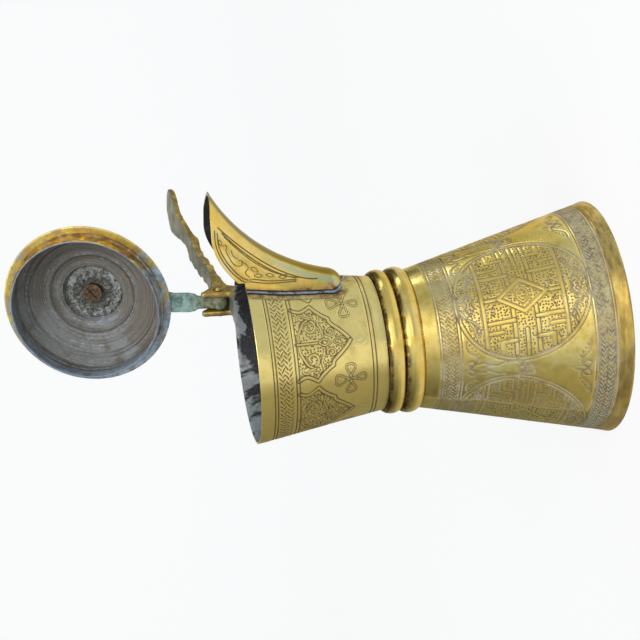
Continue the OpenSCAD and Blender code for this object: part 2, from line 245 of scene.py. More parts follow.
class Panel:
    """One repeat of an engraved surface, unrolled: rows are heights, columns are turns."""

    FAR = 99.0
    MARGIN = 0.4
    SEEN = 0.15

    def __init__(self, z0, z1, turn_half, radius, step):
        self.z = np.arange(z0, z1 + step, step)
        self.r = radius(self.z)
        columns = int(2 * turn_half * self.r.max() / step)
        self.turn = np.linspace(-turn_half, turn_half, columns)
        self.half = turn_half
        self.U = np.outer(self.r, self.turn)
        self.Z = np.repeat(self.z[:, None], columns, 1)
        self.cut, self.chalk, self.ground = np.zeros((3, *self.U.shape))

    def near(self, low, high):
        """The rows and columns that hold a box, or None if it lies off the panel."""
        i0, i1 = np.searchsorted(self.z, [low[1], high[1]])
        if i1 <= i0:
            return None
        turns = [u / r for u in (low[0], high[0]) for r in (self.r[i0:i1].min(), self.r[i0:i1].max())]
        j0, j1 = np.searchsorted(self.turn, [min(turns), max(turns)])
        return (slice(i0, i1), slice(j0, j1)) if j1 > j0 else None

    def distance(self, points, reach):
        """Distance to a polyline, on the part of the panel within reach of it."""
        points = np.asarray(points, float)
        area = self.near(points.min(0) - reach, points.max(0) + reach)
        if area is None:
            return None, None
        best = np.full(self.U.shape, self.FAR)
        for a, b in zip(points[:-1], points[1:]):
            part = self.near(np.minimum(a, b) - reach, np.maximum(a, b) + reach)
            if part is not None:
                best[part] = np.minimum(best[part], segment_distance(self.U[part], self.Z[part], a, b))
        return area, best[area]

    def line(self, points, width, depth=1.0, chalk=0.0):
        """One engraved line."""
        area, dist = self.distance(points, width + self.MARGIN)
        if area is not None:
            cut = depth * stroke(dist, width)
            self.cut[area] = np.maximum(self.cut[area], cut)
            self.chalk[area] = np.maximum(self.chalk[area], chalk * (cut > self.SEEN))

    def strap(self, points, half, width, depth=1.0, chalk=0.0):
        """A smooth strap between two engraved lines, laid over what is already there."""
        area, dist = self.distance(points, half + width + self.MARGIN)
        if area is not None:
            edge = depth * stroke(np.abs(dist - half), width, 0.8)
            self.cut[area] = np.where(dist < half, edge, np.maximum(self.cut[area], edge))
            self.ground[area] = np.where(dist < half + 0.3, 0, self.ground[area])
            self.chalk[area] = np.maximum(self.chalk[area], chalk * (edge > self.SEEN))

    def sample(self, turn, z):
        """Depth, chalk, ground and place across, at turns (from the middle of the panel) and heights."""
        local = (turn + self.half) % (2 * self.half)
        x = local / (2 * self.half) * (len(self.turn) - 1)
        y = np.clip((z - self.z[0]) / (self.z[1] - self.z[0]), 0, len(self.z) - 1.001)
        on = (z >= self.z[0]) & (z <= self.z[-1])
        x0 = np.clip(x.astype(int), 0, len(self.turn) - 2)
        y0 = np.clip(y.astype(int), 0, len(self.z) - 2)
        fx, fy = x - x0, y - y0
        result = []
        for field in (soften(self.cut), self.chalk, soften(self.ground)):
            low, high = (field[row, x0] * (1 - fx) + field[row, x0 + 1] * fx for row in (y0, y0 + 1))
            result.append((low * (1 - fy) + high * fy) * on)
        return result + [(local - self.half) * np.interp(z, self.z, self.r)]


def placed(points, across=1, middle=0.0, up=1, aside=0.0):
    """Points mirrored by the signs across and up, and moved aside and up to the middle."""
    return [(aside + across * u, middle + up * v) for u, v in points]


def curve(points, steps=10):
    """A smooth curve through points."""
    p = [points[0]] + list(points) + [points[-1]]
    out = []
    for a, b, c, d in zip(p[:-3], p[1:-2], p[2:-1], p[3:]):
        for t in (i / steps for i in range(steps)):
            out.append(tuple(0.5 * (2 * b[k] + (c[k] - a[k]) * t
                                    + (2 * a[k] - 5 * b[k] + 4 * c[k] - d[k]) * t * t
                                    + (3 * b[k] - a[k] - 3 * c[k] + d[k]) * t ** 3) for k in (0, 1)))
    return out + [tuple(points[-1])]


def spiral(cu, cv, r0, r1, start, sweep):
    steps = 40
    out = []
    for t in (i / steps for i in range(steps + 1)):
        a = math.radians(start + sweep * t)
        r = r0 + (r1 - r0) * t
        out.append((cu + r * math.cos(a), cv + r * math.sin(a)))
    return out


def oval(cu, cv, half_u, half_v, steps=24, turn=0.0):
    """A pointed oval: two arcs that meet at its ends along u."""
    inner = [(-half_u + 2 * half_u * i / steps, half_v * math.sin(math.pi * i / steps) ** 0.9)
             for i in range(1, steps)]
    top = [(-half_u, 0)] + inner + [(half_u, 0)]
    c, s = math.cos(math.radians(turn)), math.sin(math.radians(turn))
    return [(cu + u * c - v * s, cv + u * s + v * c) for u, v in top + [(u, -v) for u, v in reversed(top)]]


def circle(cu, cv, r, steps):
    return arc_points(cu, cv, r, 0, 360, steps)


def herringbone(turn, z, band, strokes, seed):
    """Slanting chisel strokes in lanes that lean in turn one way and the other."""
    low, high = band
    lanes = 4
    lane_h = (high - low) / lanes
    lane = np.floor((z - low) / lane_h)
    across = (z - low) / lane_h - lane
    lean = np.where(lane % 2 == 0, 1.0, -1.0)
    phase = strokes * turn / (2 * math.pi) + lean * (across - 0.5) * 0.9 + 0.5 * (lane % 2)
    wander = 0.12 * np.sin(turn * 37 + lane * 2.1 + seed)
    saw = np.abs(((phase + wander) % 1) - 0.5) * 2
    ends = smooth_step(across, 0.02, 0.16) * fade(across, 0.84, 0.98)
    return fade(saw, 0.18, 0.62) * (z > low) * (z < high) * (0.35 + 0.65 * ends)


def body_panel():
    """A quarter of the lower body: a roundel between spandrels, linked to its neighbours."""
    panel = Panel(18.0, 92.0, math.radians(45), body_r, 0.22)
    from_centre = np.hypot(panel.U, panel.Z - ROUNDEL_Z)
    inside = from_centre < ROUNDEL_R - 1.0
    panel.ground[inside] = 1
    corners = [(m, ROUNDEL_Z, s) for s in (1, -1) for m in (1, -1)]

    # leaves that fill the end segments
    stem = curve([(2, 34), (8, 30.5), (13, 27.5), (19, 26.0), (24, 24.5)])
    shoot = curve([(8, 30.5), (10.5, 26.8), (13.5, 24.8)])
    for corner in corners:
        panel.strap(placed(stem, *corner), 0.65, 0.6, chalk=0.6)
        panel.strap(placed(shoot, *corner), 0.55, 0.6, chalk=0.6)
        panel.line(placed(oval(15.5, 24.9, 2.4, 0.9, turn=-18), *corner), 0.6, chalk=0.6)
    for s in (1, -1):
        panel.strap(oval(0, ROUNDEL_Z + s * 28.2, 6.2, 2.7), 0.45, 0.6, chalk=0.6)
        panel.line(oval(0, ROUNDEL_Z + s * 28.2, 3.2, 1.1), 0.55, chalk=0.4)

    # open strapwork in the middle band, the same in all four quarters
    frets = [
        [(7.0, 6.0), (31.6, 6.0)],
        [(13.0, 6.0), (13.0, 20.6)],
        [(24.0, 6.0), (24.0, 13.4), (30.0, 13.4)],
        [(18.4, 20.6), (18.4, 12.6)],
        [(19.0, 0), (33.8, 0)],
        [(0, 12.6), (0, 20.6)],
    ]
    for fret in frets:
        for corner in corners:
            panel.strap(placed(fret, *corner), 1.2, 0.6, chalk=0.2)
    for corner in corners:
        panel.line(placed(oval(6.4, 16.4, 2.8, 1.1), *corner), 0.55, chalk=0.2)
        panel.line(placed(oval(25.0, 17.4, 2.4, 0.9, turn=-12), *corner), 0.55, chalk=0.2)
    diamond = [(-9.2, 0), (0, 12.6), (9.2, 0), (0, -12.6), (-9.2, 0)]
    panel.strap(placed(diamond, middle=ROUNDEL_Z), 1.2, 0.6, chalk=0.2)
    panel.strap(oval(0, ROUNDEL_Z, 4.2, 3.0), 0.7, 0.55, chalk=0.2)

    # chord bars and the roundel's own ring
    chord_v = 21.4
    chord_u = math.sqrt(ROUNDEL_R ** 2 - chord_v ** 2)
    for s in (1, -1):
        panel.strap(placed([(-chord_u, chord_v), (chord_u, chord_v)], 1, ROUNDEL_Z, s), 0.95, 0.7, chalk=0.55)
    for field in (panel.cut, panel.chalk, panel.ground):
        field[from_centre > ROUNDEL_R] = 0
    panel.strap(circle(0, ROUNDEL_Z, ROUNDEL_R, 140), 0.95, 0.75, chalk=0.75)
    panel.chalk = np.maximum(panel.chalk, 0.25 * inside)

    # linking knots and spandrel palmettes at both edges of the panel
    for m in (1, -1):
        edge = m * panel.half * float(body_r(ROUNDEL_Z))
        link = [(-6.2, 6.0), (-2.0, 1.4), (2.0, 1.4)]
        for knot in (circle(0, 3.4, 2.7, 30), circle(0, -0.6, 2.7, 30), link):
            panel.strap(placed(knot, m, ROUNDEL_Z, 1, edge), 0.5, 0.6, chalk=0.8)
        for s, base in ((1, 88.0), (-1, 20.6)):
            add_palmette(panel, base, -s, m * panel.half * float(body_r(base - s * 4)))
    return panel


def add_palmette(panel, base, up, middle):
    """Leaves, a chain of dots on each side, and a stalk, all growing up or down from the base."""
    leaf = [(0, 3.4), (3.0, 1.2), (4.4, 4.0), (2.2, 5.6), (0, 3.4)]
    branch = [(2.0, 6.0), (5.8, 6.6), (9.8, 2.4), (15.0, 1.2)]
    panel.line(placed(oval(0, 7.6, 5.2, 2.0, turn=90), 1, base, up, middle), 0.75, chalk=0.85)
    for k in (1, -1):
        for points in (leaf, branch):
            panel.line(placed(curve(points), k, base, up, middle), 0.75, chalk=0.85)
        for i in range(5):
            dot = circle(7.4 + 2.0 * i, 7.2 - 1.35 * i, 0.32, 8)
            panel.line(placed(dot, k, base, up, middle), 0.6, chalk=0.8)
    panel.line(placed(curve([(0, 13), (-0.6, 17), (0.6, 21)]), 1, base, up, middle), 0.65, chalk=0.8)
    for i in range(3):
        panel.line(placed(circle(0, 22.5 + 2.4 * i, 0.35, 8), 1, base, up, middle), 0.6, chalk=0.8)


def neck_panel():
    """A sixth of the neck: a hanging cartouche, and half a knot at each edge."""
    panel = Panel(135.5, 180.0, math.radians(30), neck_r, 0.18)
    side = curve([(19.8, 178.6), (18.4, 176.0), (18.2, 173.0), (21.0, 168.0)], 8) \
        + curve([(21.0, 168.0), (18.4, 166.0), (15.2, 162.6), (12.8, 159.2)], 8)[1:] \
        + curve([(12.8, 159.2), (10.2, 158.4), (6.4, 154.2), (2.8, 150.6), (0, 148.4)], 8)[1:]
    us, zs = np.array(side).T
    order = np.argsort(zs)
    limit = np.interp(panel.Z, zs[order], us[order])
    panel.ground[(np.abs(panel.U) < limit - 0.6) & (panel.Z > 149.4) & (panel.Z < 178.4)] = 1
    scrolls = [
        (spiral(8.6, 170.2, 4.9, 1.5, 110, -420), 0.75, 0.55),
        (curve([(0.2, 176.6), (3.6, 176.9), (7.6, 175.2), (11.8, 172.6), (13.4, 169.0)]), 0.7, 0.55),
        (curve([(0, 164.6), (3.4, 163.4), (7.0, 163.9), (10.8, 165.2), (14.6, 164.4), (17.4, 166.4)]),
         0.7, 0.55),
        (spiral(5.8, 159.2, 2.7, 0.9, 80, 380), 0.6, 0.5),
        (curve([(13.4, 169.0), (14.4, 171.8), (16.2, 173.6), (15.4, 176.0), (13.0, 176.2)]), 0.6, 0.5),
    ]
    for m in (1, -1):
        for points, half, width in scrolls:
            panel.strap(placed(points, m), half, width)
        for leaf in (oval(11.6, 160.6, 1.9, 0.9, turn=50), oval(16.0, 168.8, 1.8, 0.9, turn=70)):
            panel.line(placed(leaf, m), 0.5)
    panel.strap([(0, 178.4), (0, 165.8)], 0.7, 0.55)
    panel.strap(oval(0, 162.8, 2.9, 1.7, turn=90), 0.55, 0.5)
    panel.strap(oval(0, 153.6, 4.2, 2.0, turn=90), 0.5, 0.5)
    # only what lies inside the outline stays
    outside = (np.abs(panel.U) >= limit + 0.2) | (panel.Z <= 148.2)
    panel.cut[outside] = 0
    panel.ground[outside] = 0
    for m in (1, -1):
        panel.strap(placed(side, m), 1.0, 0.7)
    # a leaf under the tip
    panel.line(oval(0, 143.4, 2.7, 1.6, turn=90), 0.5, 0.55)
    for m in (1, -1):
        panel.line(placed(curve([(0, 140.8), (1.6, 139.4), (3.2, 140.6)]), m), 0.5, 0.45)
    for m in (1, -1):
        add_knot(panel, m * panel.half * float(neck_r(150)), 149.8)
    return panel


def add_knot(panel, u, v):
    """Four loops round a point, with a dot in each."""
    steps = 48
    for c, s in ((1, 0), (0, 1), (-1, 0), (0, -1)):
        loop = []
        for t in (math.pi * i / steps for i in range(steps + 1)):
            swell = math.sin(t)
            reach = 8.4 * swell ** 0.8
            wide = 2.9 * math.sin(2 * t) * swell ** 0.5
            loop.append((u + reach * c - wide * s, v + reach * s + wide * c))
        panel.strap(loop, 0.55, 0.55, 0.95, chalk=0.1)
        panel.line(circle(u + 5.9 * c, v + 5.9 * s, 0.55, 10), 0.4, 0.6)


# ---------------------------------------------------------------- shader nodes


def direction(turn, rise=0.0):
    """Unit vector at a turn round the axis and a rise above level, in degrees."""
    t, e = math.radians(turn), math.radians(rise)
    return (math.cos(t) * math.cos(e), math.sin(t) * math.cos(e), math.sin(e))


def shade(color, factor):
    return tuple(factor * v for v in color)


class Signal:
    """The output of a shader node. Arithmetic on it adds the nodes that work it out."""

    def __init__(self, shader, socket):
        self.shader = shader
        self.socket = socket

    def math(self, operation, other=0.0):
        return self.shader.add("Math", {0: self, 1: other}, operation=operation)

    def __add__(self, other):
        return self.math("ADD", other)

    def __sub__(self, other):
        return self.math("SUBTRACT", other)

    def __mul__(self, other):
        return self.math("MULTIPLY", other)

    def max(self, other):
        return self.math("MAXIMUM", other)

    def dot(self, vector):
        return self.shader.add("VectorMath", {0: self, 1: vector}, out=1, operation="DOT_PRODUCT")

    def ramp(self, low, high, to_low=0.0, to_high=1.0):
        """A smooth step from to_low, where the signal is low, to to_high, where it is high."""
        limits = {"From Min": low, "From Max": high, "To Min": to_low, "To Max": to_high}
        return self.shader.add("MapRange", {"Value": self, **limits}, interpolation_type="SMOOTHSTEP")

    def band(self, low, rise, fall, high, top=1.0):
        """Top between rise and fall, and 0 below low and above high."""
        return self.ramp(low, rise) * self.ramp(fall, high, top, 0.0)


class Shader:
    """Adds nodes to a material or a world, and gathers a surface in color, rough, metal and height."""

    def __init__(self, owner, color=None):
        owner.use_nodes = True
        self.owner = owner
        self.tree = owner.node_tree
        self.bsdf = self.tree.nodes.get("Principled BSDF")
        self.color = color
        self.rough = self.metal = self.height = None

    def add(self, kind, inputs=None, out=0, **props):
        node = self.tree.nodes.new("ShaderNode" + kind)
        for key, value in props.items():
            setattr(node, key, value)
        for key, value in (inputs or {}).items():
            self.put(node.inputs[key], value)
        return Signal(self, node.outputs[out])

    def put(self, socket, value):
        if isinstance(value, Signal):
            self.tree.links.new(value.socket, socket)
        elif socket.type == "RGBA":
            socket.default_value = (*value, 1)
        else:
            socket.default_value = value

    def coords(self, kind="Object"):
        return self.add("TexCoord", out=kind)

    def split(self):
        """The signals of x, y and z, in metres."""
        return [self.add("SeparateXYZ", {0: self.coords()}, out=axis) for axis in range(3)]

    def outward(self):
        """The unit vector from the axis to the point, level."""
        flat = self.add("VectorMath", {0: self.coords(), 1: (1, 1, 0)}, operation="MULTIPLY")
        return self.add("VectorMath", {0: flat}, operation="NORMALIZE")

    def noise(self, scale, detail=3.0, rough=0.55, where=None, distortion=0.0):
        return self.add("TexNoise", {"Vector": where or self.coords(), "Scale": scale, "Detail": detail,
                                     "Roughness": rough, "Distortion": distortion})

    def stretched(self, scales, detail, rough):
        """Noise with its own scale along each axis."""
        place = self.add("Mapping", {"Vector": self.coords(), "Scale": scales})
        return self.noise(1, detail, rough, where=place)

    def attribute(self, name):
        return self.add("Attribute", out=2, attribute_name=name)

    def mix(self, factor, a, b):
        return self.add("Mix", {0: factor, 6: a, 7: b}, out=2, data_type="RGBA")

    def cover(self, mask, paint, amount=1.0, rougher=0.0, metal=1.0):
        """Lay paint over the colour where the mask is 1, which can roughen it and make it less metallic."""
        self.color = self.mix(mask if amount == 1 else mask * amount, self.color, paint)
        if rougher:
            self.rough = self.rough + mask * rougher
        if metal < 1:
            self.metal = self.metal * mask.ramp(0, 1, 1.0, metal)

    def finish(self, strength, distance):
        """Join the surface to the material, with its height as a bump."""
        bump = self.add("Bump", {"Height": self.height, "Strength": strength, "Distance": distance})
        tint = (0.78, 0.68, 0.46)
        for key, value in (("Base Color", self.color), ("Roughness", self.rough), ("Metallic", self.metal),
                           ("Specular Tint", tint), ("Normal", bump)):
            self.put(self.bsdf.inputs[key], value)
        return self.owner


def new_shader(name, color=None):
    return Shader(bpy.data.materials.new(name), color)


# ---------------------------------------------------------------- materials

GOLD = (0.74, 0.53, 0.13)
PALE_GOLD = (0.80, 0.66, 0.26)
OLIVE = (0.33, 0.27, 0.075)
BROWN = (0.15, 0.085, 0.035)
SOOT = (0.050, 0.036, 0.022)
CHALK = (0.56, 0.55, 0.49)
RED_BURN = ((0.15, 0.075, 0.04), (0.30, 0.17, 0.13))
# colours of the painted shade on the rings
OLIVE_SHADE = ((0.085, 0.052, 0.016), (0.20, 0.135, 0.045))
# heights in metres between which the body's two herringbone bands are dull
LOW_DULL = (0.0088, 0.0098, 0.0176, 0.0186)
HIGH_DULL = (0.0898, 0.0908, 0.0980, 0.0990)


def brass_material(name, gold=GOLD, olive=OLIVE, patina=0.5, dull=0.22, engraved=False, burn_and_shade=None,
                   keel_reflection=False, dirt_and_shade_side=(0.012, -0.046, 0.74), tarnish_and_shade=None):
    """Polished brass with patina, darker on the far side from the spout from dirty patina and painted shade.
    It can be engraved and stained round solder, the rings take painted shade in their creases through that
    same mask, a keel can take a painted reflection, and one sector can take tarnish and painted shade.
    """
    s = new_shader(name)
    x, _, z = s.split()
    broad = s.noise(26, 4, 0.6, distortion=0.6)
    mid = s.noise(120, 5, 0.6)
    fine = s.noise(700, 3, 0.6)
    s.color = s.mix(broad.ramp(0.40, 0.66), gold, s.mix(mid.ramp(0.35, 0.7), PALE_GOLD, gold))
    # the far side from the spout is darker: dirty patina, and painted shade with the edge of a painted dark
    # reflection
    bright_x, dark_x, most = dirt_and_shade_side
    dirt_and_shade = (x + (broad - 0.5) * 0.05).ramp(bright_x, dark_x, 0.0, most)
    if tarnish_and_shade:
        # a darker sector facing one way: tarnish, and painted shade for the dark side of the surroundings
        turn, low, high, amount = tarnish_and_shade
        facing = s.outward().dot(direction(turn)) + (broad - 0.5) * 0.12
        dirt_and_shade = dirt_and_shade.max(facing.ramp(low, high, 0.0, amount))
    s.rough = mid.ramp(0.3, 0.75, dull - 0.05, dull + 0.12) + dirt_and_shade * 0.45
    s.metal = dirt_and_shade.ramp(0.4, 0.75, 1.0, 0.45)
    s.cover(dirt_and_shade.max(mid.ramp(0.45, 0.74) * patina), olive)
    s.cover(s.noise(420, 4, 0.7).ramp(0.62, 0.74), BROWN, 0.5, rougher=0.2, metal=0.75)
    # stains round solder; on the rings the same mask is painted shade in the creases and on the upper flank
    if burn_and_shade:
        burn_and_shade_mask = s.attribute("stain_and_shade") * s.noise(160, 5, 0.65).ramp(0.35, 0.62, 0.35, 1.0)
        s.cover(burn_and_shade_mask, s.mix(s.noise(230, 4, 0.6).ramp(0.42, 0.6), *burn_and_shade), rougher=0.18)
    if keel_reflection:
        # painted reflections of the surroundings along the keel
        paint_keel_reflection(s, s.attribute("keel") + (broad - 0.5) * 1.2, z)
    s.height = s.stretched((300, 300, 2600), 3, 0.7) * 0.5 + fine
    if engraved:
        add_engraving(s, x, z, dirt_and_shade, fine)
    return s.finish(0.14, 0.00025)


def paint_keel_reflection(s, reach, z):
    """Painted reflections: a greyish strip along the keel, then a cool one beside it, both fading toward the
    foot.
    """
    tip = z.ramp(0.172, 0.200)
    s.cover(reach.band(1.6, 2.6, 3.6, 5.6) * tip.ramp(0, 1, 0.75, 0.10), (0.42, 0.52, 0.32))
    s.cover(reach.ramp(0.9, 2.2, 1.0, 0.0), s.mix(tip, (0.20, 0.155, 0.035), (0.17, 0.175, 0.16)), 0.9)


def add_engraving(s, x, z, dirt_and_shade, fine):
    """Dark or chalky residue in the strokes, punched dots between the straps, and dull bands on the body."""
    low_band = z.band(*LOW_DULL)
    bands = low_band.max(z.band(*HIGH_DULL, 0.45))
    powder = bands * s.noise(240, 4, 0.65).ramp(0.36, 0.62, 0.45, 0.85)
    s.cover(powder, (0.16, 0.13, 0.07), rougher=0.2, metal=0.6)
    # a browned foot
    streaks = s.stretched((70, 70, 320), 4, 0.6).ramp(0.34, 0.66, 0.25, 0.9)
    s.cover(z.ramp(0.0094, 0.0070) * streaks, (0.28, 0.175, 0.055))
    # dots punched by hand into the ground
    place = s.add("CombineXYZ", {"X": s.attribute("across") * (1 / DOT_PITCH), "Y": z * (1 / MM / DOT_PITCH)})
    cell = s.add("TexVoronoi", {"Vector": place, "Scale": 1.0, "Randomness": 0.62}, voronoi_dimensions="2D")
    dots = cell.ramp(0.20, 0.40, 1.0, 0.0) * s.attribute("ground").ramp(0.45, 0.9)
    # chalk fills the strokes in patches, fuller toward -x as painted light, and less on the side darkened by
    # dirty patina and painted shade
    chalk = s.attribute("chalk") * x.ramp(0.03, -0.03, 0.6, 1.0) * dirt_and_shade.ramp(0.72, 0.85, 1.0, 0.35)
    chalk = (chalk - low_band * 0.3).max(low_band * 0.74)
    patch = s.noise(90, 4, 0.6).ramp(0.36, 0.62, 0.25, 1.0).max(bands * 0.9)
    residue = s.mix(chalk * patch, s.mix(fine.ramp(0.4, 0.6), SOOT, BROWN), CHALK)
    filled = s.attribute("groove").max(dots).ramp(0.18, 0.75)
    s.cover(filled, residue, 0.9, rougher=0.4, metal=0.2)
    s.height = s.height - dots * 6.0


def tin_material(name, base, light, brown, amount, low=(0, 0, 0), high=(0, 0, 1), edge=(0.5, 0.66),
                 turned_marks=False):
    """Dull tin: charcoal, with pale corroded patches, and more of them toward one place as painted light."""
    s = new_shader(name, base)
    broad = s.noise(38, 6, 0.65, distortion=0.1 if turned_marks else 0.9)
    mid = s.noise(190, 5, 0.65)
    fine = s.noise(900, 4, 0.7)
    way = Vector(high) - Vector(low)
    way /= way.length_squared
    # painted light: the pale patches spread toward the high point
    painted_light = s.coords().dot(tuple(way)).ramp(Vector(low).dot(way), Vector(high).dot(way), -1.0, 1.0) * 0.13
    s.cover((broad + painted_light).ramp(*edge), light, amount)
    s.cover(mid.ramp(0.5, 0.7), brown, 0.5)
    s.cover(fine.ramp(0.55, 0.75), light, 0.4)
    s.rough = mid.ramp(0.3, 0.7, 0.42, 0.75)
    s.metal = mid.ramp(0.4, 0.7, 0.7, 0.25)
    s.height = mid + fine
    if turned_marks:
        add_turned_marks(s, base, mid, painted_light)
    return s.finish(0.6, 0.0005)


def add_turned_marks(s, base, mid, painted_light):
    """Rings left by turning the lining, with what has settled on it and rubbed off it."""
    reach = s.attribute("reach")
    x, _, z = s.split()
    rings = s.noise(1.0, 4, 0.7, where=s.add("CombineXYZ", {"X": reach * 1.1, "Y": x * 16.0, "Z": z * 16.0}))
    s.cover(rings.ramp(0.40, 0.62), shade(base, 1.9), 0.55)
    s.cover(rings.ramp(0.46, 0.34), shade(base, 0.5), 0.6)
    # a step between the middle and the outer part of the lining, drawn as a painted shadow ring with a
    # painted highlight on its crest
    uneven = s.noise(85, 4, 0.6).ramp(0.38, 0.60, 0.15, 1.0)
    s.cover(reach.band(27.8, 30.4, 30.9, 31.5), shade(base, 0.35), 0.55)
    crest = reach.band(31.2, 31.8, 32.3, 34.4) * s.noise(310, 4, 0.7).ramp(0.42, 0.56)
    s.cover(crest * uneven, (0.36, 0.40, 0.44), 0.8)
    # a painted pale reflection in a crescent beside the plate, on the side away from the spout
    beside = reach.band(18.2, 20.0, 23.5, 28.5) * x.ramp(-0.010, -0.017)
    s.cover(beside * uneven, (0.37, 0.39, 0.45), 0.75)
    # bare blue-grey metal toward the collar's lip
    s.cover(reach.ramp(60.5, 65.0) * mid.ramp(0.34, 0.60, 0.45, 1.0), (0.27, 0.35, 0.45), 0.85)
    # pale crust that follows some of the rings, with more of it where light is painted
    near = rings + reach.ramp(19.0, 25.0, 0.12, 0.0) + painted_light * 0.35
    crust = near.ramp(0.53, 0.62) * (s.noise(520, 4, 0.7) + painted_light * 0.3).ramp(0.52, 0.62)
    s.cover(crust, (0.50, 0.54, 0.56), 0.85)
    s.height = s.height + (rings * 2.2 + crust)


def crust_material(name, base, light, amount, edged=False):
    """Pitted metal with pale crystals on it, and a little turquoise."""
    s = new_shader(name)
    cells = s.add("TexVoronoi", {"Vector": s.coords(), "Scale": 620, "Randomness": 1.0})
    mid = s.noise(330, 5, 0.7)
    fine = s.noise(1300, 4, 0.7)
    much = mid + fine * 0.35
    if edged:
        much = much + s.attribute("reach").ramp(8.0, 17.0, -0.06, 0.10)
    pale = much.ramp(0.60, 0.92) * amount
    s.color = s.mix(cells.ramp(0.1, 0.5), base, shade(base, 0.7))
    s.cover(pale, light)
    s.cover(s.noise(150, 4, 0.6).ramp(0.60, 0.68), (0.26, 0.46, 0.43), 0.7)
    s.rough = fine.ramp(0.3, 0.7, 0.35, 0.7)
    s.metal = pale.ramp(0, 0.5, 0.75, 0.2)
    s.height = mid + cells + fine * 0.5
    return s.finish(0.9, 0.0009)


def brim_material(name, aged=0.0):
    """Brass under patchy blue-grey patina, with yellow left on the raised, spout-side half, both clean brass
    and painted light.
    """
    s = new_shader(name)
    x, _, z = s.split()
    mid = s.noise(170, 5, 0.65)
    broad = s.noise(75, 4, 0.6, distortion=0.8)
    side = x * 15.0 + (z - 0.266) * 8.0
    # clean brass and painted light from above on the raised, spout-side half
    clean_and_lit = (side + (broad - 0.5) * 2.6).ramp(-0.12, 0.30)
    gold = s.mix(mid.ramp(0.42 - 0.1 * aged, 0.62 - 0.1 * aged), (0.78, 0.58, 0.14), (0.50, 0.34, 0.12))
    grey = s.noise(60, 3, 0.6).ramp(0.5 - 0.1 * aged, 0.64) * 0.75
    s.color = s.mix(mid.ramp(0.4, 0.62), (0.25, 0.30, 0.34), (0.50, 0.57, 0.62))
    s.cover(broad.ramp(0.55, 0.66), (0.34, 0.25, 0.13), 0.8)
    s.cover(clean_and_lit, s.mix(grey, gold, (0.40, 0.42, 0.34)))
    s.cover(s.noise(420, 4, 0.7).ramp(0.58, 0.7), (0.16, 0.11, 0.09), 0.5)
    if aged:
        blotch = s.mix(mid.ramp(0.4, 0.6), (0.13, 0.07, 0.05), (0.26, 0.17, 0.13))
        s.cover(s.noise(115, 5, 0.7).ramp(0.44, 0.58), blotch, aged)
    s.rough = mid.ramp(0.3, 0.7, 0.28, 0.5)
    s.metal = clean_and_lit.ramp(0, 1, 0.55, 0.95)
    s.height = mid + broad
    return s.finish(0.3, 0.0004)


def verdigris_material(name):
    """Green-blue verdigris, rubbed down to dull brass toward the hinge."""
    s = new_shader(name)
    _, _, z = s.split()
    broad = s.noise(130, 5, 0.65, distortion=0.5)
    mid = s.noise(420, 5, 0.7)
    s.color = s.mix(broad.ramp(0.36, 0.62), (0.13, 0.20, 0.175), (0.28, 0.45, 0.42))
    s.cover(mid.ramp(0.48, 0.64), (0.45, 0.55, 0.51), 0.75)
    s.cover(s.noise(260, 4, 0.6).ramp(0.56, 0.7), (0.17, 0.12, 0.05), 0.8)
    wear_and_shade = (z + (broad - 0.5) * 0.03).ramp(0.226, 0.210)
    s.cover(wear_and_shade, s.mix(mid.ramp(0.4, 0.6), (0.10, 0.105, 0.05), (0.27, 0.26, 0.16)), 0.85)
    s.rough = mid.ramp(0.3, 0.7, 0.5, 0.85)
    s.metal = broad.ramp(0.4, 0.6, 0.45, 0.1)
    s.height = broad + mid
    return s.finish(0.7, 0.0006)


def solder_material(name):
    """Blue-grey solder, black where it meets the sheets."""
    s = new_shader(name)
    mid = s.noise(240, 5, 0.65)
    fine = s.noise(1100, 4, 0.7)
    s.color = s.mix(mid.ramp(0.35, 0.65), (0.17, 0.195, 0.24), (0.34, 0.375, 0.43))
    s.cover(s.noise(330, 3).ramp(0.52, 0.66), (0.07, 0.06, 0.055), 0.8)
    dark = (s.attribute("joint") + (mid - 0.5) * 0.8).ramp(0.45, 0.7)
    s.cover(dark, (0.028, 0.024, 0.022), 0.92)
    s.rough = mid.ramp(0.3, 0.7, 0.3, 0.55)
    s.metal = mid.ramp(0.3, 0.7, 0.9, 0.5)
    s.height = mid + fine
    return s.finish(0.6, 0.0004)


def cast_material(name):
    """Cast brass: golden where it faces down or sideways and dull grey-olive where it lies upward, as painted
    light and painted shade by facing.
    """
    s = new_shader(name)
    mid = s.noise(170, 5, 0.65)
    fine = s.noise(800, 4, 0.7)
    gold = s.mix(mid.ramp(0.35, 0.62), (0.56, 0.37, 0.09), (0.24, 0.18, 0.07))
    grey = s.mix(s.noise(90, 5, 0.65).ramp(0.35, 0.65), (0.19, 0.19, 0.145), (0.32, 0.33, 0.28))
    # painted shade on faces that lie upward and painted light on the rest
    wear_and_shade = s.attribute("upward") + (mid - 0.5) * 1.3
    s.color = s.mix(wear_and_shade.ramp(0.15, 0.80), gold, grey)
    s.cover(s.noise(460, 4, 0.7).ramp(0.58, 0.7), (0.07, 0.06, 0.04), 0.6)
    s.rough = mid.ramp(0.3, 0.7, 0.34, 0.58)
    s.metal = wear_and_shade.ramp(0.3, 0.8, 0.95, 0.6)
    s.height = mid + fine
    return s.finish(0.45, 0.0005)


engraved_brass = brass_material("engraved_brass", engraved=True, burn_and_shade=RED_BURN,
                                tarnish_and_shade=(-145, 0.84, 0.94, 0.9))
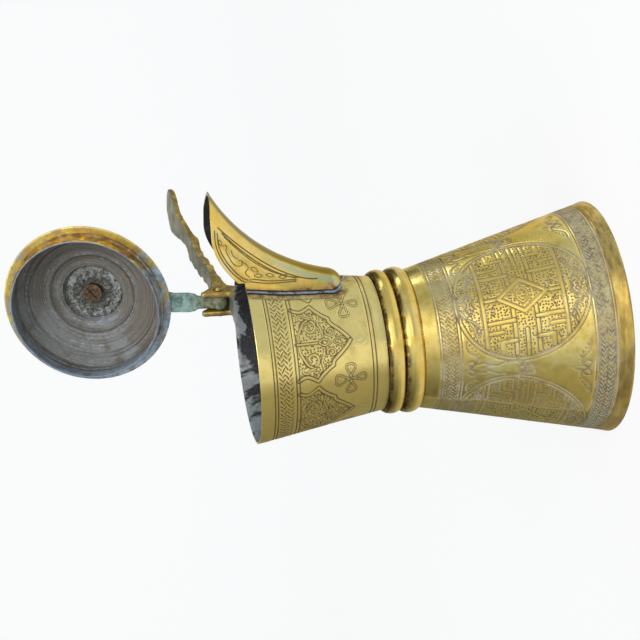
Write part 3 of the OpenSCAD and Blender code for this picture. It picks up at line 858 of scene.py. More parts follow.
# the neck's gold is paler and brighter than the body's, as painted light for its brighter reflection
neck_brass = brass_material("neck_brass", gold=(0.86, 0.70, 0.25), olive=(0.34, 0.25, 0.052), patina=0.36,
                            dull=0.17, engraved=True, burn_and_shade=RED_BURN, dirt_and_shade_side=(-0.02, -0.06, 0.5),
                            tarnish_and_shade=(-119, 0.74, 0.89, 0.82))
spout_brass = brass_material("spout_brass", gold=(0.80, 0.54, 0.11), patina=0.2, dull=0.09, engraved=True,
                             burn_and_shade=RED_BURN, keel_reflection=True)
ring_brass = brass_material("ring_brass", patina=0.25, dull=0.14, burn_and_shade=OLIVE_SHADE)
plain_brass = brass_material("plain_brass", patina=0.35)
base_brass = brass_material("base_brass", gold=(0.30, 0.22, 0.085), olive=(0.12, 0.10, 0.06), patina=0.8,
                            dull=0.34)
# one tin lining in three tones: charcoal in the neck and nearly black in the spout as painted shade, paler in
# the lid
tin = tin_material("tin_lining", (0.040, 0.041, 0.047), (0.40, 0.43, 0.44), (0.10, 0.065, 0.04), amount=0.8,
                   low=(0, 0, 0.186), high=(-0.003, 0, 0.2005), edge=(0.53, 0.58))
shaded_spout_tin = tin_material("spout_lining", (0.022, 0.022, 0.024), (0.09, 0.092, 0.095), (0.03, 0.022, 0.015),
                         amount=0.4)
lid_tin = tin_material("lid_lining", (0.165, 0.150, 0.128), (0.36, 0.40, 0.44), (0.12, 0.09, 0.062),
                       amount=0.6, low=(0.03, 0.08, 0.235), high=(-0.035, 0.08, 0.285), edge=(0.52, 0.66),
                       turned_marks=True)
verdigris = verdigris_material("green_patina")
solder_grey = solder_material("grey_solder")
cast_brass = cast_material("cast_brass")
brim_brass = brim_material("brim_brass")
collar_brass = brim_material("collar_brass", 0.8)
plate_metal = crust_material("plate_metal", (0.165, 0.155, 0.135), (0.50, 0.54, 0.53), 0.8, edged=True)
screw_metal = crust_material("screw_metal", (0.19, 0.118, 0.072), (0.36, 0.31, 0.24), 0.35)

# ---------------------------------------------------------------- lower body and rings


def dense_rows(low, high, step, lines):
    """Heights every step, with three rows on each ruled line."""
    z = list(np.arange(low, high, step)) + [high]
    for at in lines:
        z = [v for v in z if abs(v - at) > 0.45 or v in (low, high)] + [at - 0.36, at, at + 0.36]
    return np.array(sorted(z))


def make_body():
    turn = around(COLUMNS)
    z = dense_rows(0.0, CONE_H, 0.76, BODY_RULES)
    T, Z = np.meshgrid(turn, z)
    cut, chalk, ground, across = body_panel().sample(T - ROUNDEL_TURN, Z)
    for at in BODY_RULES:
        line = rule(Z - at)
        cut = np.maximum(cut, line * 0.9)
        chalk = np.maximum(chalk, 0.7 * (line > 0.1))
    for band, strokes, seed in ((LOW_BAND, 136, 1.0), (HIGH_BAND, 104, 2.0)):
        cut = np.maximum(cut, herringbone(T, Z, band, strokes, seed))
        chalk = np.maximum(chalk, 0.8 * ((Z > band[0]) & (Z < band[1])))
    dent = 0.30 * waves(T, Z, 5, 60, 16, 9) + 0.10 * waves(T, Z, 6, 16, 18, 30)
    R = body_r(Z) + dent * smooth_step(Z, -2, 6) - BODY_CUT * cut
    # the collar, then the inside down to the foot
    slant = 1.04 * SHEET
    shoulder = CONE_H - 1.5
    rest = np.array([(COLLAR_R, CONE_H), (COLLAR_R, NECK_Z), (SPIGOT_R, NECK_Z), (SPIGOT_R, shoulder),
                     (WAIST_R - slant, shoulder), (58.0 - slant, 30.0), (FOOT_R - slant, 0.0)])
    verts = np.concatenate([polar(R, T, Z), polar(rest[:, :1], turn, rest[:, 1:])])
    mats = np.zeros(verts.shape[:2], int)
    mats[len(z) + 3:-1] = 1
    attrs = {"groove": cut, "chalk": chalk, "ground": ground, "across": across}
    add_piece("body_shell", "pot", "lower_body", verts, grid_faces(*mats.shape, wrap_rows=True),
              [engraved_brass, tin], attrs, mats)


def make_ring(name, node, low, high, inner, peak, seed):
    """A bead round the waist, with painted shade in its corners and over its upper flank."""
    turn = around(360)
    t = np.linspace(-1, 1, 49)
    edge = COLLAR_R + 0.2
    T, Z = np.meshgrid(turn, low + (high - low) * (1 + t) / 2)
    R = (edge + (peak - edge) * (1 - t * t) ** 0.7)[:, None] + 0.22 * waves(T, Z, seed, 30, 14, 12)
    bore = np.array([high, low])[:, None]
    verts = np.concatenate([polar(R, T, Z), polar(inner, turn, bore)])
    # painted shade: strong over the upper flank and its crease, where it also dulls the highlight, and
    # lighter in the lower crease
    painted_shade = np.maximum(1.7 * fade(1 - t, 0.06, 0.62), 0.7 * fade(1 + t, 0.02, 0.20))
    add_piece(name, "pot", node, verts, grid_faces(*verts.shape[:2], wrap_rows=True), [ring_brass],
              {"stain_and_shade": painted_shade[:, None] + np.zeros_like(R)})


# ---------------------------------------------------------------- spout


def lip_z(x):
    """Height of the lips: a round shoulder up to the crest, then a gentle fall to the tip."""
    climb = np.sin(0.5 * math.pi * np.clip((x - LIP_START) / (LIP_PEAK - LIP_START), 0, 1)) ** 0.88
    fall = np.interp(x, [LIP_PEAK, 84, 95, 120], [0, 0.25 * LIP_FALL, LIP_FALL, 3 * LIP_FALL])
    return RIM_Z + LIP_RISE * climb - fall


def clear_of_pot(x, y, z):
    reach = np.hypot(x, y)
    return np.where(z > RIM_Z, (reach > LID_CLEAR_R) & (z < lip_z(x)), reach > neck_r(z))


def spout_point(kind, angle, g, inset):
    """Point of the trough at height g above the keel, in the spout's own frame with its keel on y = 0."""
    half = (SPOUT_W - inset) * np.sin(np.arccos(np.clip(1 - g / (SPOUT_D - inset), 0, 1)))
    if kind == "keel":
        r, x, z = KEEL_R + inset + g, KEEL_X, KEEL_Z
    else:
        r, x, z = np.maximum(FOOT_ARC_R - inset - g, 0), FOOT_ARC_X, FOOT_ARC_Z
    return x + r * np.cos(angle), half, z + r * np.sin(angle)


def spout_wall(inset, along=170, foot_rows=34, side=92):
    """Rows of points from the tip to the blunt foot, each from one edge round the keel to the other."""
    probe = np.concatenate([[0], np.linspace(0.02, 60, 3000)])
    swing = np.radians(np.linspace(100, 180 - math.degrees(JOIN_TURN), 4000))
    first = swing[np.argmax(clear_of_pot(*spout_point("keel", swing, 0, inset)))]
    dip = np.linspace(-JOIN_TURN, -JOIN_TURN - 2.0, 4000)
    last = dip[np.argmin(clear_of_pot(*spout_point("foot", dip, 0, inset)))]
    stations = [("keel", a) for a in first + (math.pi - JOIN_TURN - first) * np.linspace(0, 1, along)]
    stations += [("foot", b) for b in -JOIN_TURN + (last + JOIN_TURN) * np.linspace(0, 1, foot_rows + 1)[1:]]
    rows = []
    for kind, angle in stations:
        clear = clear_of_pot(*spout_point(kind, angle, probe, inset))
        stop = len(clear) if clear.all() else int(np.argmin(clear))
        # even steps along the section
        g = probe[max(stop - 1, 0)] * np.linspace(0, 1, 240) ** 2
        section = np.stack(spout_point(kind, angle, g, inset))
        length = np.concatenate([[0], np.cumsum(np.sqrt((np.diff(section) ** 2).sum(0)))])
        pick = np.interp(np.linspace(0, length[-1], side + 1), length, g)
        right = np.stack(spout_point(kind, angle, pick, inset), -1)
        rows.append(np.concatenate([right[::-1], (right * MIRROR)[1:]]))
    return np.array(rows)


def seam_distance(points, seam):
    """Distance from points to the nearest point of the seam, on either side of the spout."""
    near = np.full(points.shape[:-1], Panel.FAR)
    for p in seam:
        for q in (p, p * MIRROR):
            near = np.minimum(near, np.linalg.norm(points - q, axis=-1))
    return near


def dress_spout(outer, seam):
    """The spout's outer face with its engraving, and the values that its material reads."""
    cut = np.zeros(outer.shape[:2])
    for line, width in spout_strokes():
        line = np.asarray(line, float)
        for a, b in zip(line[:-1], line[1:]):
            cut = np.maximum(cut, stroke(segment_distance(outer[..., 0], outer[..., 2], a, b), width))
    flank = np.abs(outer[..., 1]) > 12
    cut = cut * flank
    from_seam = seam_distance(outer, seam)
    stain_and_shade = fade(from_seam, 1.5, 8.0) * smooth_step(-outer[..., 2], -186, -158) \
        + 0.8 * fade(from_seam, 0.3, 2.2)
    # push the engraving in along the wall's own normal
    normal = unit(np.cross(np.gradient(outer, axis=0), np.gradient(outer, axis=1)))
    heart = np.array([40.0, 0, 190.0])
    flip = np.sign((normal * (outer - heart)).sum(-1, keepdims=True))
    normal *= np.where(flip == 0, 1, flip)
    depth = np.abs(np.linspace(-1, 1, outer.shape[1]))
    dent = waves(np.linspace(0, 2, len(outer))[:, None], depth[None] * 40, 31, 26, 12, 6)
    push = THIN_CUT * cut - 0.16 * dent * (0.3 + 0.7 * (1 - cut))
    push = push * smooth_step(from_seam, 0.0, 2.0) * smooth_step(1 - depth, 0.0, 0.06)
    outer = outer - normal * push[..., None]
    # distance from the keel, as seen from the spout's side
    middle = outer.shape[1] // 2
    keel = np.linalg.norm((outer - outer[:, middle:middle + 1])[..., (0, 2)], axis=-1)
    blank = np.zeros_like(cut)
    attrs = {"groove": np.concatenate([cut, blank], 1),
             "keel": np.concatenate([keel, keel[:, ::-1]], 1),
             "stain_and_shade": np.concatenate([np.clip(stain_and_shade, 0, 1), blank], 1)}
    return outer, attrs


def make_spout():
    """The spout's wall. Returns where the outer and the inner face of one side meet the neck."""
    outer, inner = spout_wall(0.0), spout_wall(SHEET)
    seam = np.array([row[0] for row in outer if row[0, 2] < RIM_Z - 0.05])
    inner_seam = np.array([row[0] for row in inner if row[0, 2] < RIM_Z + 0.02])
    outer, attrs = dress_spout(outer, seam)
    loops = np.concatenate([outer, inner[:, ::-1]], 1)
    mats = np.zeros((len(loops) - 1, loops.shape[1]), int)
    mats[:, outer.shape[1]:-1] = 1
    add_piece("spout_shell", "pot", "spout", turned(loops, SPOUT_TURN), grid_faces(*loops.shape[:2]),
              [spout_brass, shaded_spout_tin], attrs, mats, weld=0.004)
    return seam, inner_seam


def spout_strokes():
    """Curves on the side of the spout: a leaf between double lines, with a scroll and small leaves in it."""
    strokes = []
    # inside the lips and down beside the seam, from the leaf's upper point
    for off in (1.9, 3.3):
        line = []
        for x in np.linspace(79.5 - off, 48.0, 30):
            slope = float(lip_z(x + 0.5) - lip_z(x - 0.5))
            n = math.hypot(1, slope)
            line.append((x + off * slope / n, float(lip_z(x)) - off / n))
        x, z = line[-1]
        line = line[:-6] + curve([line[-6], (x - 0.2, z - 1.2), (x - 1.8 + 0.3 * off, z - 6.5),
                                  (44.9 + 0.8 * off, z - 15), (44.0 + 0.6 * off, 172.0)], 8)
        strokes.append((line, 0.6))
    # on the keel's side, from the same point to the seam near the foot
    for off, low, width in ((0.0, 160.0, 0.62), (2.0, 165.0, 0.62), (3.2, 172.0, 0.5)):
        side = []
        high = 211.6 - 0.9 * off
        for f in np.linspace(0, 1, 36):
            z = high + (low - high) * f
            inward = off * math.sin(math.pi * min(1.0, 0.12 + f)) ** 0.5
            side.append((44.2 + 34.6 * ((z - 158.0) / 53.6) ** 1.75 - inward, z))
        strokes.append((side, width))
    scroll = [(69.6, 210.6), (69.0, 208.2), (66.4, 208.6), (63.2, 207.4), (60.0, 206.0), (57.8, 203.8),
              (57.9, 201.2), (59.8, 200.6), (60.8, 202.2)]
    tendril = [(66.4, 205.9), (63.4, 205.0), (61.6, 202.8)]
    tail = [(59.8, 200.6), (57.6, 198.2), (55.8, 197.6), (53.4, 199.4), (51.0, 197.6)]
    strokes += [(curve(points, 8), 0.5) for points in (scroll, tendril, tail)]
    for x, z, half_u, half_v, turn in ((54.6, 194.4, 2.4, 0.9, 50), (51.2, 192.6, 2.3, 0.9, 80),
                                       (50.4, 186.2, 2.4, 0.8, 72), (71.2, 211.4, 1.6, 0.7, 10),
                                       (48.4, 179.4, 2.2, 0.7, 78)):
        strokes.append((oval(x, z, half_u, half_v, 12, turn), 0.45))
    return strokes


def make_solder(seam):
    """A flattened, uneven bead of solder on the neck, all along the spout's seam."""
    path = np.concatenate([seam, (seam[::-1] * MIRROR)[1:]])
    keep = [0]
    for i in range(1, len(path)):
        if np.linalg.norm(path[i] - path[keep[-1]]) > 0.35:
            keep.append(i)
    path = path[keep]
    length = np.concatenate([[0], np.cumsum(np.linalg.norm(np.diff(path, axis=0), axis=1))])
    n = 420
    path = np.stack([np.interp(np.linspace(0, length[-1], n), length, axis) for axis in path.T], -1)
    tilt = (RIM_R - NECK_FOOT_R) / (RIM_Z - NECK_Z)
    x, y, _ = path.T
    normal = unit(np.stack([x, y, -tilt * np.hypot(x, y)], -1))
    across = np.cross(normal, unit(np.gradient(path, axis=0)))
    middle = np.array([44.0, 0, 175.0])
    across *= np.sign((across * (path - middle)).sum(1, keepdims=True))
    draw = np.random.default_rng(77)
    spare = 10
    spread, swell = (np.convolve(draw.uniform(-1, 1, n + 2 * spare), np.ones(w) / w, "same")[spare:-spare]
                     for w in (9, 15))
    lift = 0.46 + 0.08 * swell
    # out from the seam, up from the neck, and how far that side of the bead wanders
    section = [(-0.25, -0.25, 0), (-0.25, 0.95, 0.2), (0.35, 0.9, 0.3), (0.85, 1.0, 0.6), (1.4, 0.95, 0.8),
               (2.2, 0.8, 1.0), (2.7, 0.4, 1.0), (2.8, -0.25, 1.0)]
    verts = np.stack([path + across * (out + 0.5 * spread * sway)[:, None] + normal * (high * lift)[:, None]
                      for out, high, sway in section], 1)
    cols = len(section)
    caps = [[k, cols - 1 - k, cols - 2 - k, k + 1] for k in range(cols // 2 - 1)]
    caps += [[(n - 1) * cols + k for k in quad[::-1]] for quad in caps]
    joint = np.tile([1.0, 1.0, 1.0, 0.85, 0.05, 0.1, 0.8, 1.0], n)
    add_piece("solder_seam", "pot", "spout_solder", turned(verts, SPOUT_TURN),
              grid_faces(n, cols) + caps, [solder_grey], {"joint": joint})


# ---------------------------------------------------------------- neck


def dress_neck(T, Z, seam):
    """Radius of the neck's outside at turns from the spout's middle, and the values its material reads."""
    turn = T + SPOUT_TURN
    cut, chalk, ground, across = neck_panel().sample(turn - CARTOUCHE_TURN, Z)
    for at in NECK_RULES:
        cut = np.maximum(cut, rule(Z - at))
    cut = np.maximum(cut, herringbone(turn, Z, NECK_BAND, 104, 3.0))
    # an engraved line beside the seam, stains round the solder and under the spout, and a darkening at the
    # neck's foot
    from_seam = seam_distance(polar(neck_r(Z), T, Z), seam[::2])
    blank = smooth_step(from_seam, 5.0, 7.0)
    cut, ground = cut * blank, ground * blank
    cut = np.maximum(cut, 0.7 * rule(from_seam - 6.0, 0.6) * (Z > 150) * (Z < 198))
    stain_and_shade = fade(from_seam, 4.4, 8.5) * (0.8 + 0.2 * smooth_step(-Z, -165, -146))
    stain_and_shade = np.maximum(stain_and_shade, 0.8 * fade(np.hypot((Z - 141) / 1.1, 40 * T), 4, 11))
    stain_and_shade = np.maximum(stain_and_shade, 0.5 * fade(Z, NECK_Z + 0.2, NECK_Z + 2.2))
    dent = 0.34 * waves(turn, Z, 8, 34, 16, 12) + 0.12 * waves(turn, Z, 9, 14, 18, 26)
    R = neck_r(Z) + dent * smooth_step(Z, NECK_Z - 1, NECK_Z + 4) - THIN_CUT * cut
    R = R + 0.35 * waves(turn, Z * 0, 12, 30, 10, 16) * smooth_step(Z, RIM_Z - 5, RIM_Z)
    attrs = {"groove": cut, "chalk": chalk, "ground": ground, "across": across,
             "stain_and_shade": np.clip(stain_and_shade, 0, 1)}
    return R, attrs


def make_neck(seam, inner_seam):
    """The neck's shell: a grid of points round it, moved apart where the spout opens into it."""
    cols = COLUMNS
    seam_x, seam_y, seam_z = inner_seam[np.argsort(inner_seam[:, 2])].T
    low = seam_z[0]
    base = np.linspace(-math.pi, math.pi, cols + 1)[:-1] + math.pi / cols

    def opened(heights):
        """Turns of the columns at each height, from the middle of the opening."""
        half = np.where(heights > low, np.interp(heights, seam_z, np.abs(np.arctan2(seam_y, seam_x))), 0)
        share = np.clip(1 - np.abs(base) / math.radians(80), 0, 1)
        return base[None] + (np.sign(base) * share)[None] * half[:, None]

    z = np.array(sorted([*dense_rows(NECK_Z, RIM_Z, 0.6, NECK_RULES), low, low + 0.05]))
    T, Z = opened(z), np.repeat(z[:, None], cols, 1)
    R, attrs = dress_neck(T, Z, seam)
    turn = T + SPOUT_TURN
    outer = polar(R, turn, Z)
    # the rim is rounded: two rows on its top, a little above the edges beside them
    outer[-1, :, 2] -= 0.25
    rim = polar(R[-1] - np.array([[0.3], [SHEET - 0.3]]), turn[-1], RIM_Z - 0.12)
    inner_z = np.concatenate([np.linspace(RIM_Z - 0.3, low + 9, 22), np.linspace(low + 8, low, 12),
                              [low - 0.05], np.linspace(low - 3, NECK_Z, 4)])
    inner_turn = opened(inner_z) + SPOUT_TURN
    inner = [polar(neck_r(h) - SHEET + 0.35 * waves(t, h, 14, 24, 14, 12), t, h)[None]
             for h, t in zip(inner_z, inner_turn)]
    spigot = np.array([(SPIGOT_R - SHEET, NECK_Z - 3), (SPIGOT_R - SHEET, SPIGOT_Z), (SPIGOT_R, SPIGOT_Z),
                       (SPIGOT_R, NECK_Z - 0.02)])
    tail = polar(spigot[:, :1], base + SPOUT_TURN, spigot[:, 1:])
    verts = np.concatenate([outer, rim, *inner, tail])

    # the two middle columns stay apart above the opening's foot, and a wall closes the sheet's edge on each
    rows, top = len(verts), len(z)
    middle = cols // 2 - 1
    above = verts[:, :, 2].mean(1) > low - 0.01
    keep = np.ones((rows, cols), bool)
    keep[:, middle] = ~(above & np.roll(above, -1))
    mats = np.zeros((rows, cols), int)
    mats[top + 1:rows - 3] = 1
    faces = [quad for quad, kept in zip(grid_faces(rows, cols, wrap_rows=True), keep.ravel()) if kept]
    first = int(np.searchsorted(z, low))
    last = top + 2 + int((inner_z >= low - 1e-6).sum())
    walls = []
    for column in (middle, middle + 1):
        outside = [row * cols + column for row in range(first, top + 1)]
        inside = [row * cols + column for row in reversed(range(top + 1, last))]
        walls += strip_faces(outside, inside)
    add_piece("neck_shell", "pot", "neck", verts, faces + walls, [neck_brass, tin], attrs,
              mats[keep].tolist() + [1] * len(walls), weld=0.003)


def strip_faces(a, b):
    """Quads and triangles between two rows of vertices that run the same way."""
    steps = max(len(a), len(b)) - 1
    faces = []
    for k in range(steps):
        corners = [a[round(k * (len(a) - 1) / steps)], a[round((k + 1) * (len(a) - 1) / steps)],
                   b[round((k + 1) * (len(b) - 1) / steps)], b[round(k * (len(b) - 1) / steps)]]
        corners = list(dict.fromkeys(corners))
        if len(corners) > 2:
            faces.append(corners)
    return faces


# ---------------------------------------------------------------- cast pieces


def cast_copy(name, body, node, mat, voxel, smooth, seed):
    """A casting made from the CAD solid: remeshed evenly, edges softened, skin a little uneven."""
    work = bpy.data.objects.new("work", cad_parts[node].data.copy())
    bpy.context.scene.collection.objects.link(work)
    remesh = work.modifiers.new("remesh", "REMESH")
    remesh.mode = "VOXEL"
    remesh.voxel_size = voxel * MM
    soften_edges = work.modifiers.new("soften", "SMOOTH")
    soften_edges.factor = 0.5
    soften_edges.iterations = smooth
    mesh = bpy.data.meshes.new_from_object(work.evaluated_get(bpy.context.evaluated_depsgraph_get()))
    mesh.name = name
    bpy.data.objects.remove(work)
    count = len(mesh.vertices)
    place, normal = np.zeros((count, 3)), np.zeros((count, 3))
    mesh.vertices.foreach_get("co", place.ravel())
    mesh.vertices.foreach_get("normal", normal.ravel())
    draw = np.random.default_rng(seed)
    pit_depth = 0.3
    pits = np.zeros(count)
    for _ in range(26):
        way = draw.normal(0, 1, 3)
        way *= draw.uniform(0.15, 0.9) / MM / np.linalg.norm(way)
        pits += np.cos(place @ way + draw.uniform(0, 6.28))
    pits = np.clip(pits / 7, -1, 1) * 0.5 - 0.5
    mesh.vertices.foreach_set("co", (place + normal * (pit_depth * MM * pits)[:, None]).ravel())
    # the normal's height, which the cast material turns into painted light and painted shade
    upward = mesh.attributes.new("upward", "FLOAT", "POINT")
    upward.data.foreach_set("value", normal[:, 2].astype(np.float32))
    mesh.materials.clear()
    mesh.materials.append(mat)
    mesh.polygons.foreach_set("material_index", [0] * len(mesh.polygons))
    place_piece(name, body, node, mesh)


# ---------------------------------------------------------------- lid


def turned_piece(name, node, outline, step, cols, mats, shape, reach, face_mat=None):
    """A closed outline turned about the lid's axis, with an uneven skin."""
    loop = resample(outline + [outline[0]], step)[:-1]
    T, R = np.meshgrid(around(cols), loop[:, 0])
    Z = np.repeat(loop[:, 1:], cols, 1)
    R, Z = shape(T, R, Z)
    middles = (loop + np.roll(loop, -1, 0)) / 2
    face_mats = np.repeat([face_mat(r, z) for r, z in middles], cols) if face_mat else None
    add_piece(name, "lid", node, open_lid(polar(R, T, Z)), grid_faces(*R.shape, wrap_rows=True), mats,
              {"reach": reach(R, Z)}, face_mats)


def lining_reach(R, Z):
    """How far along the lining from its middle, so that marks follow its rings."""
    return R + 0.8 * (CROWN_TOP - Z)


def crown_outline(t):
    """The crown's section from the brim to the top, t below its outside."""
    edge_r = 38.4
    dome = [(edge_r - t - (edge_r - CROWN_R) * i / 10,
             RIM_Z + 11.6 - t + 5.6 * math.sin(math.radians(9 * i))) for i in range(11)]
    return arc_points(41.4 - t, RIM_Z + 3.6 - t / 2, 5.2, 0, 80, 8) \
        + [(39.6 - t, RIM_Z + 9 - t), (38.9 - t, RIM_Z + 11 - t)] + dome \
        + arc_points(CROWN_R - t, CROWN_TOP - 1.8 - t, 1.8, 0, 90, 4)


def make_crown():
    outer, inner = crown_outline(0), crown_outline(SHEET)
    top, bottom = RIM_Z + SHEET, RIM_Z + 0.12
    brim = [(46.6, top), (BRIM_R - 0.35, top), (BRIM_R, top - 0.3), (BRIM_R, RIM_Z + 0.3),
            (BRIM_R - 0.3, bottom), (45.4, bottom)]
    outline = [(SCREW_HOLE_R, CROWN_TOP)] + outer[::-1] + brim + inner + [(SCREW_HOLE_R, CEILING)]
    xs, zs = np.array(outer[::-1]).T
    order = np.argsort(xs)
    inner_points, outer_points = resample(inner, 0.4), resample(outer, 0.4)

    def shape(T, R, Z):
        lining = (Z < np.interp(R, xs[order], zs[order]) - 0.5 * SHEET) & (R < LINING_R)
        dent = 0.3 * waves(T, Z * 2, 41, 26, 12, 8)
        pits = 0.5 * waves(T, R, 42, 9, 22, 30) + 0.3 * waves(T, R * 1.3, 43, 5, 22, 60)
        steps = 0.10 * np.sin(R * 1.15 + 0.8 * np.sin(T)) + 0.05 * np.sin(R * 3.4 + 0.5 * np.sin(2 * T))
        skin = np.where(lining & (R > 4), 0.45 * pits + steps + 0.2, 0) * (Z > RIM_Z + 3)
        R = R + np.where(lining, 0, dent * (R > 5)) * fade(R, 44, 47)
        return R, Z + np.where(lining, np.minimum(skin, 0.28), skin)

    def face_mat(r, z):
        near_in, near_out = (np.hypot(*(points - (r, z)).T).min() for points in (inner_points, outer_points))
        return int(near_in < near_out and r < LINING_R)

    turned_piece("lid_crown", "lid_dome", outline, 0.7, 300, [brim_brass, lid_tin], shape,
                 lining_reach, face_mat)


def make_collar():
    bottom, top = RIM_Z - SLEEVE_DEPTH, RIM_Z + 3.6
    inner_r = SLEEVE_R - SHEET
    outline = [(inner_r, bottom + 0.3), (inner_r + 0.3, bottom), (SLEEVE_R - 0.3, bottom),
               (SLEEVE_R, bottom + 0.3), (SLEEVE_R, RIM_Z - 2.2), (SLEEVE_R + 0.35, RIM_Z - 1.1),
               (SLEEVE_R + 1.2, RIM_Z - 0.1), (SLEEVE_R, RIM_Z + 0.1), (SLEEVE_R, top), (inner_r, top)]

    def shape(T, R, Z):
        inward = 0.35 * waves(T, Z, 51, 14, 12, 14) + 0.2 * waves(T, Z, 52, 6, 14, 40)
        edge = 0.45 * waves(T, 0 * Z, 53, 30, 10, 18) * smooth_step(-Z, -bottom - 3, -bottom)
        return R + inward, Z - edge

    turned_piece("lid_collar", "lid_sleeve", outline, 0.8, 300, [collar_brass, lid_tin],
                 shape, lining_reach, lambda r, z: int(r < SLEEVE_R - 0.4))


def make_plate():
    """The corroded disc under the screw's head."""
    outline = [(r, CEILING - drop) for r, drop in (
        (SCREW_HOLE_R, 0), (17.6, 0), (17.9, 0.25), (16.9, 0.65), (15.2, 1.05), (12.5, 1.35), (9.5, 1.5),
        (8.5, 1.1), (SCREW_HOLE_R, 1.3))]

    def shape(T, R, Z):
        pits = (0.55 * waves(T, R, 61, 4, 26, 30) + 0.25) * (Z < CEILING - 0.2) * (R > 3)
        return R + 1.1 * waves(T, 0 * R, 62, 9, 12, 16) * (R > 12), Z - pits

    turned_piece("lid_plate", "lid_backing_disc", outline, 0.8, 220, [plate_metal], shape,
                 lambda R, Z: R)


def make_screw():
    """Slotted head, domed and rubbed, with the slot cut across it."""
    seat = CEILING - 1.5
    head_r, head_h, half_slot, slot_depth, slot_turn = 6.0, 2.6, 0.62, 1.2, math.radians(136)
    cols = 96
    dome = np.linspace(0.02, head_r * 0.86, 26)
    r = np.concatenate([dome, [head_r * 0.94, head_r * 0.985, head_r, head_r]])
    drop = np.concatenate([0.18 * (dome / head_r) ** 2, [0.28, 0.48, 0.85, head_h]])[:, None]
    T, R = np.meshgrid(around(cols), r)
    slot = fade(np.abs(R * np.sin(T - slot_turn)), half_slot - 0.12, half_slot + 0.22)
    cut = np.maximum(slot * (slot_depth - drop), 0) * (drop < head_h - 0.1)
    Z = seat - head_h + drop + cut - 0.1 * waves(T, R, 71, 4, 16, 9) * (drop < 1)
    verts = np.concatenate([polar(R, T, Z).reshape(-1, 3), [[0, 0, Z[0].mean()], [0, 0, seat]]])
    top, bottom, last = R.size, R.size + 1, R.size - cols
    faces = grid_faces(len(r), cols)
    faces += [[i, (i + 1) % cols, top] for i in range(cols)]
    faces += [[last + (i + 1) % cols, last + i, bottom] for i in range(cols)]
    add_piece("knob_screw", "lid", "finial_screw", open_lid(verts), faces, [screw_metal])


make_body()
make_ring("waist_ring_low", "lower_waist_ring", CONE_H, RING_JOIN, COLLAR_R, COLLAR_R + 3, 21)
make_ring("waist_ring_high", "upper_waist_ring", RING_JOIN, NECK_Z, SPIGOT_R, COLLAR_R + 2.4, 22)
outer_seam, inner_seam = make_spout()
make_solder(outer_seam)
make_neck(outer_seam, inner_seam)
make_crown()
make_collar()
make_plate()
make_screw()
cast_copy("handle_casting", "pot", "handle", cast_brass, voxel=0.75, smooth=10, seed=81)
cast_copy("strap_casting", "lid", "lid_strap", verdigris, voxel=0.5, smooth=4, seed=82)
for node_name, mat in (("handle_rivets", plain_brass), ("hinge_pin", cast_brass), ("base_plate", base_brass),
                       ("finial", plain_brass), ("strap_rivets", plain_brass)):
    for material_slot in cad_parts[node_name].material_slots:
        material_slot.material = mat

# ---------------------------------------------------------------- stage, in metres and degrees
VIEW_TURN = -63
VIEW_DISTANCE = 0.86253
VIEW_HEIGHT = 0.29513
VIEW_ROLL = 96.73
AIM_ASIDE = 0.01610
AIM_HEIGHT = 0.15701
AWAY = VIEW_TURN + 180


def stage_point(turn, distance, height):
    """The point at a turn, a distance from the axis and a height."""
    return Vector(direction(turn)) * distance + Vector((0, 0, height))


def place_camera():
    """The view: from the near side of the pot, a little above it, rolled on its side."""
    aim = stage_point(VIEW_TURN + 90, AIM_ASIDE, AIM_HEIGHT)
    eye = stage_point(VIEW_TURN, VIEW_DISTANCE, VIEW_HEIGHT)
    look = (aim - eye).normalized()
    right = look.cross(Vector((0, 0, 1))).normalized()
    axes = Matrix((right, right.cross(look), -look)).transposed()
    data = bpy.data.cameras.new("camera")
    data.sensor_width = 36
    data.lens = 88.2
    data.dof.use_dof = False
    camera = bpy.data.objects.new("camera", data)
    bpy.context.scene.collection.objects.link(camera)
    roll = Matrix.Rotation(math.radians(-VIEW_ROLL), 4, "Z")
    camera.matrix_world = Matrix.Translation(eye) @ axes.to_4x4() @ roll
    bpy.context.scene.camera = camera


def stage_material():
    """White paper behind the pot, to the eye and to the metal, with painted light on it: a painted pool and
    streak of light, a painted cool tint, and a painted falloff to a pale grey on both sides.
    """
    s = new_shader("paper")
    outward = s.outward()
    depth = s.coords().dot(direction(AWAY)) + VIEW_DISTANCE
    across = s.coords().dot(direction(AWAY + 90)).math("ABSOLUTE")
    framed = (across - depth * 0.235).ramp(0.0, 0.16, 1.0, 0.0) * depth.ramp(0.50, 0.74)
    # painted light on the paper for the metal to reflect: pale in front of the pot and grey behind and beside
    # it, a painted cool tint toward the spout's side, a painted bright streak, and plain white where the
    # camera looks
    s.color = s.mix(outward.dot(direction(-62)).ramp(0.20, 0.85), (0.50, 0.495, 0.48), (0.96, 0.94, 0.88))
    s.cover(outward.dot(direction(AWAY - 90)).ramp(-0.35, 0.10), (0.66, 0.71, 0.76))
    s.cover(outward.dot(direction(-74)).ramp(0.965, 0.995), (1.0, 1.0, 0.98))
    s.cover(framed, (1.0, 1.0, 1.0))
    for key, value in (("Base Color", s.mix(0.14, s.color, (0, 0, 0))), ("Roughness", 0.9),
                       ("Specular IOR Level", 0.0)):
        s.put(s.bsdf.inputs[key], value)
    straight, glossy, through = (s.add("LightPath", out="Is %s Ray" % kind)
                                 for kind in ("Camera", "Glossy", "Transmission"))
    glow = s.add("Emission", {"Color": s.color, "Strength": 1.0})
    seen = straight.max(glossy).max(through) * 0.84
    lit = s.add("MixShader", {0: seen, 1: Signal(s, s.bsdf.outputs[0]), 2: glow})
    s.put(s.tree.nodes["Material Output"].inputs["Surface"], lit)
    return s.owner


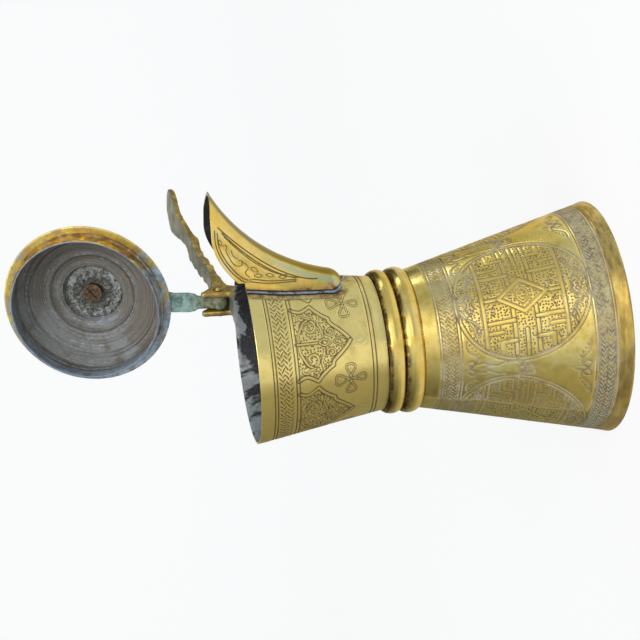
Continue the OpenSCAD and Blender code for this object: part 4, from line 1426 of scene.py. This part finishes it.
def build_stage():
    """A floor all round, and behind the pot a strip of it that curves up into a wall."""
    bend_r, wall, below = 0.8, 2.0, 0.0002
    # out behind the pot, height and half width
    profile = [(-2.2, 0.0, 1.4), (-1.2, 0.0, 2.2), (0.0, 0.0, 2.5), (0.8, 0.0, 2.2)]
    profile += [(wall - bend_r + bend_r * math.sin(a), bend_r - bend_r * math.cos(a), 0.9)
                for a in np.radians(range(0, 91, 10))] + [(wall, 2.6, 0.9)]
    turn = math.radians(AWAY)
    verts = turned([(out, side * half, up - below) for side in (-1, 1) for out, up, half in profile], turn)
    n = len(profile)
    mesh = bpy.data.meshes.new("paper_sweep")
    mesh.from_pydata(verts.tolist(), [], [(i, i + 1, n + i + 1, n + i) for i in range(n - 1)])
    mesh.materials.append(stage_material())
    mesh.polygons.foreach_set("use_smooth", [True] * len(mesh.polygons))
    sweep = bpy.data.objects.new("paper_sweep", mesh)
    bpy.context.scene.collection.objects.link(sweep)


def area_lamp(name, turn, height, distance, size, power, color):
    """A rectangular lamp at a turn round the pot, aimed at the middle of it."""
    data = bpy.data.lights.new(name, "AREA")
    data.shape = "RECTANGLE"
    data.size, data.size_y = size
    data.energy = power
    data.color = color
    lamp = bpy.data.objects.new(name, data)
    lamp.location = stage_point(turn, distance, height)
    middle = stage_point(0, 0, 0.12)
    lamp.rotation_euler = (middle - lamp.location).to_track_quat("-Z", "Y").to_euler()
    bpy.context.scene.collection.objects.link(lamp)


def build_world():
    """Surroundings that are pale and cool on the spout's side, and dim on the other side and below."""
    world = bpy.data.worlds.new("studio")
    bpy.context.scene.world = world
    s = Shader(world, (0.11, 0.11, 0.105))
    way = s.coords("Generated")
    for turn, rise, low, high, most, glow in (
            (-45, 20, -0.55, 0.80, 1, (0.62, 0.70, 0.80)),
            (-60, 12, 0.70, 0.97, 1, (1.0, 1.02, 1.0)),
            (-46, 12, 0.90, 0.99, 1, (1.5, 1.5, 1.45)),
            (0, -90, 0.05, 0.7, 0.75, (0.20, 0.17, 0.12))):
        s.cover(way.dot(direction(turn, rise)).ramp(low, high, 0, most), glow)
    background = s.tree.nodes["Background"]
    s.put(background.inputs["Color"], s.color)
    s.put(background.inputs["Strength"], 1.0)


place_camera()
build_stage()
build_world()
area_lamp("key", -50, 1.35, 1.3, (1.2, 0.8), 11, (1.0, 0.98, 0.95))
area_lamp("side", 40, 0.55, 1.5, (0.4, 0.9), 2.5, (0.90, 0.96, 1.0))
area_lamp("top", -120, 1.6, 0.5, (0.9, 0.9), 5, (1.0, 0.98, 0.95))
bpy.context.scene.view_settings.view_transform = "Standard"
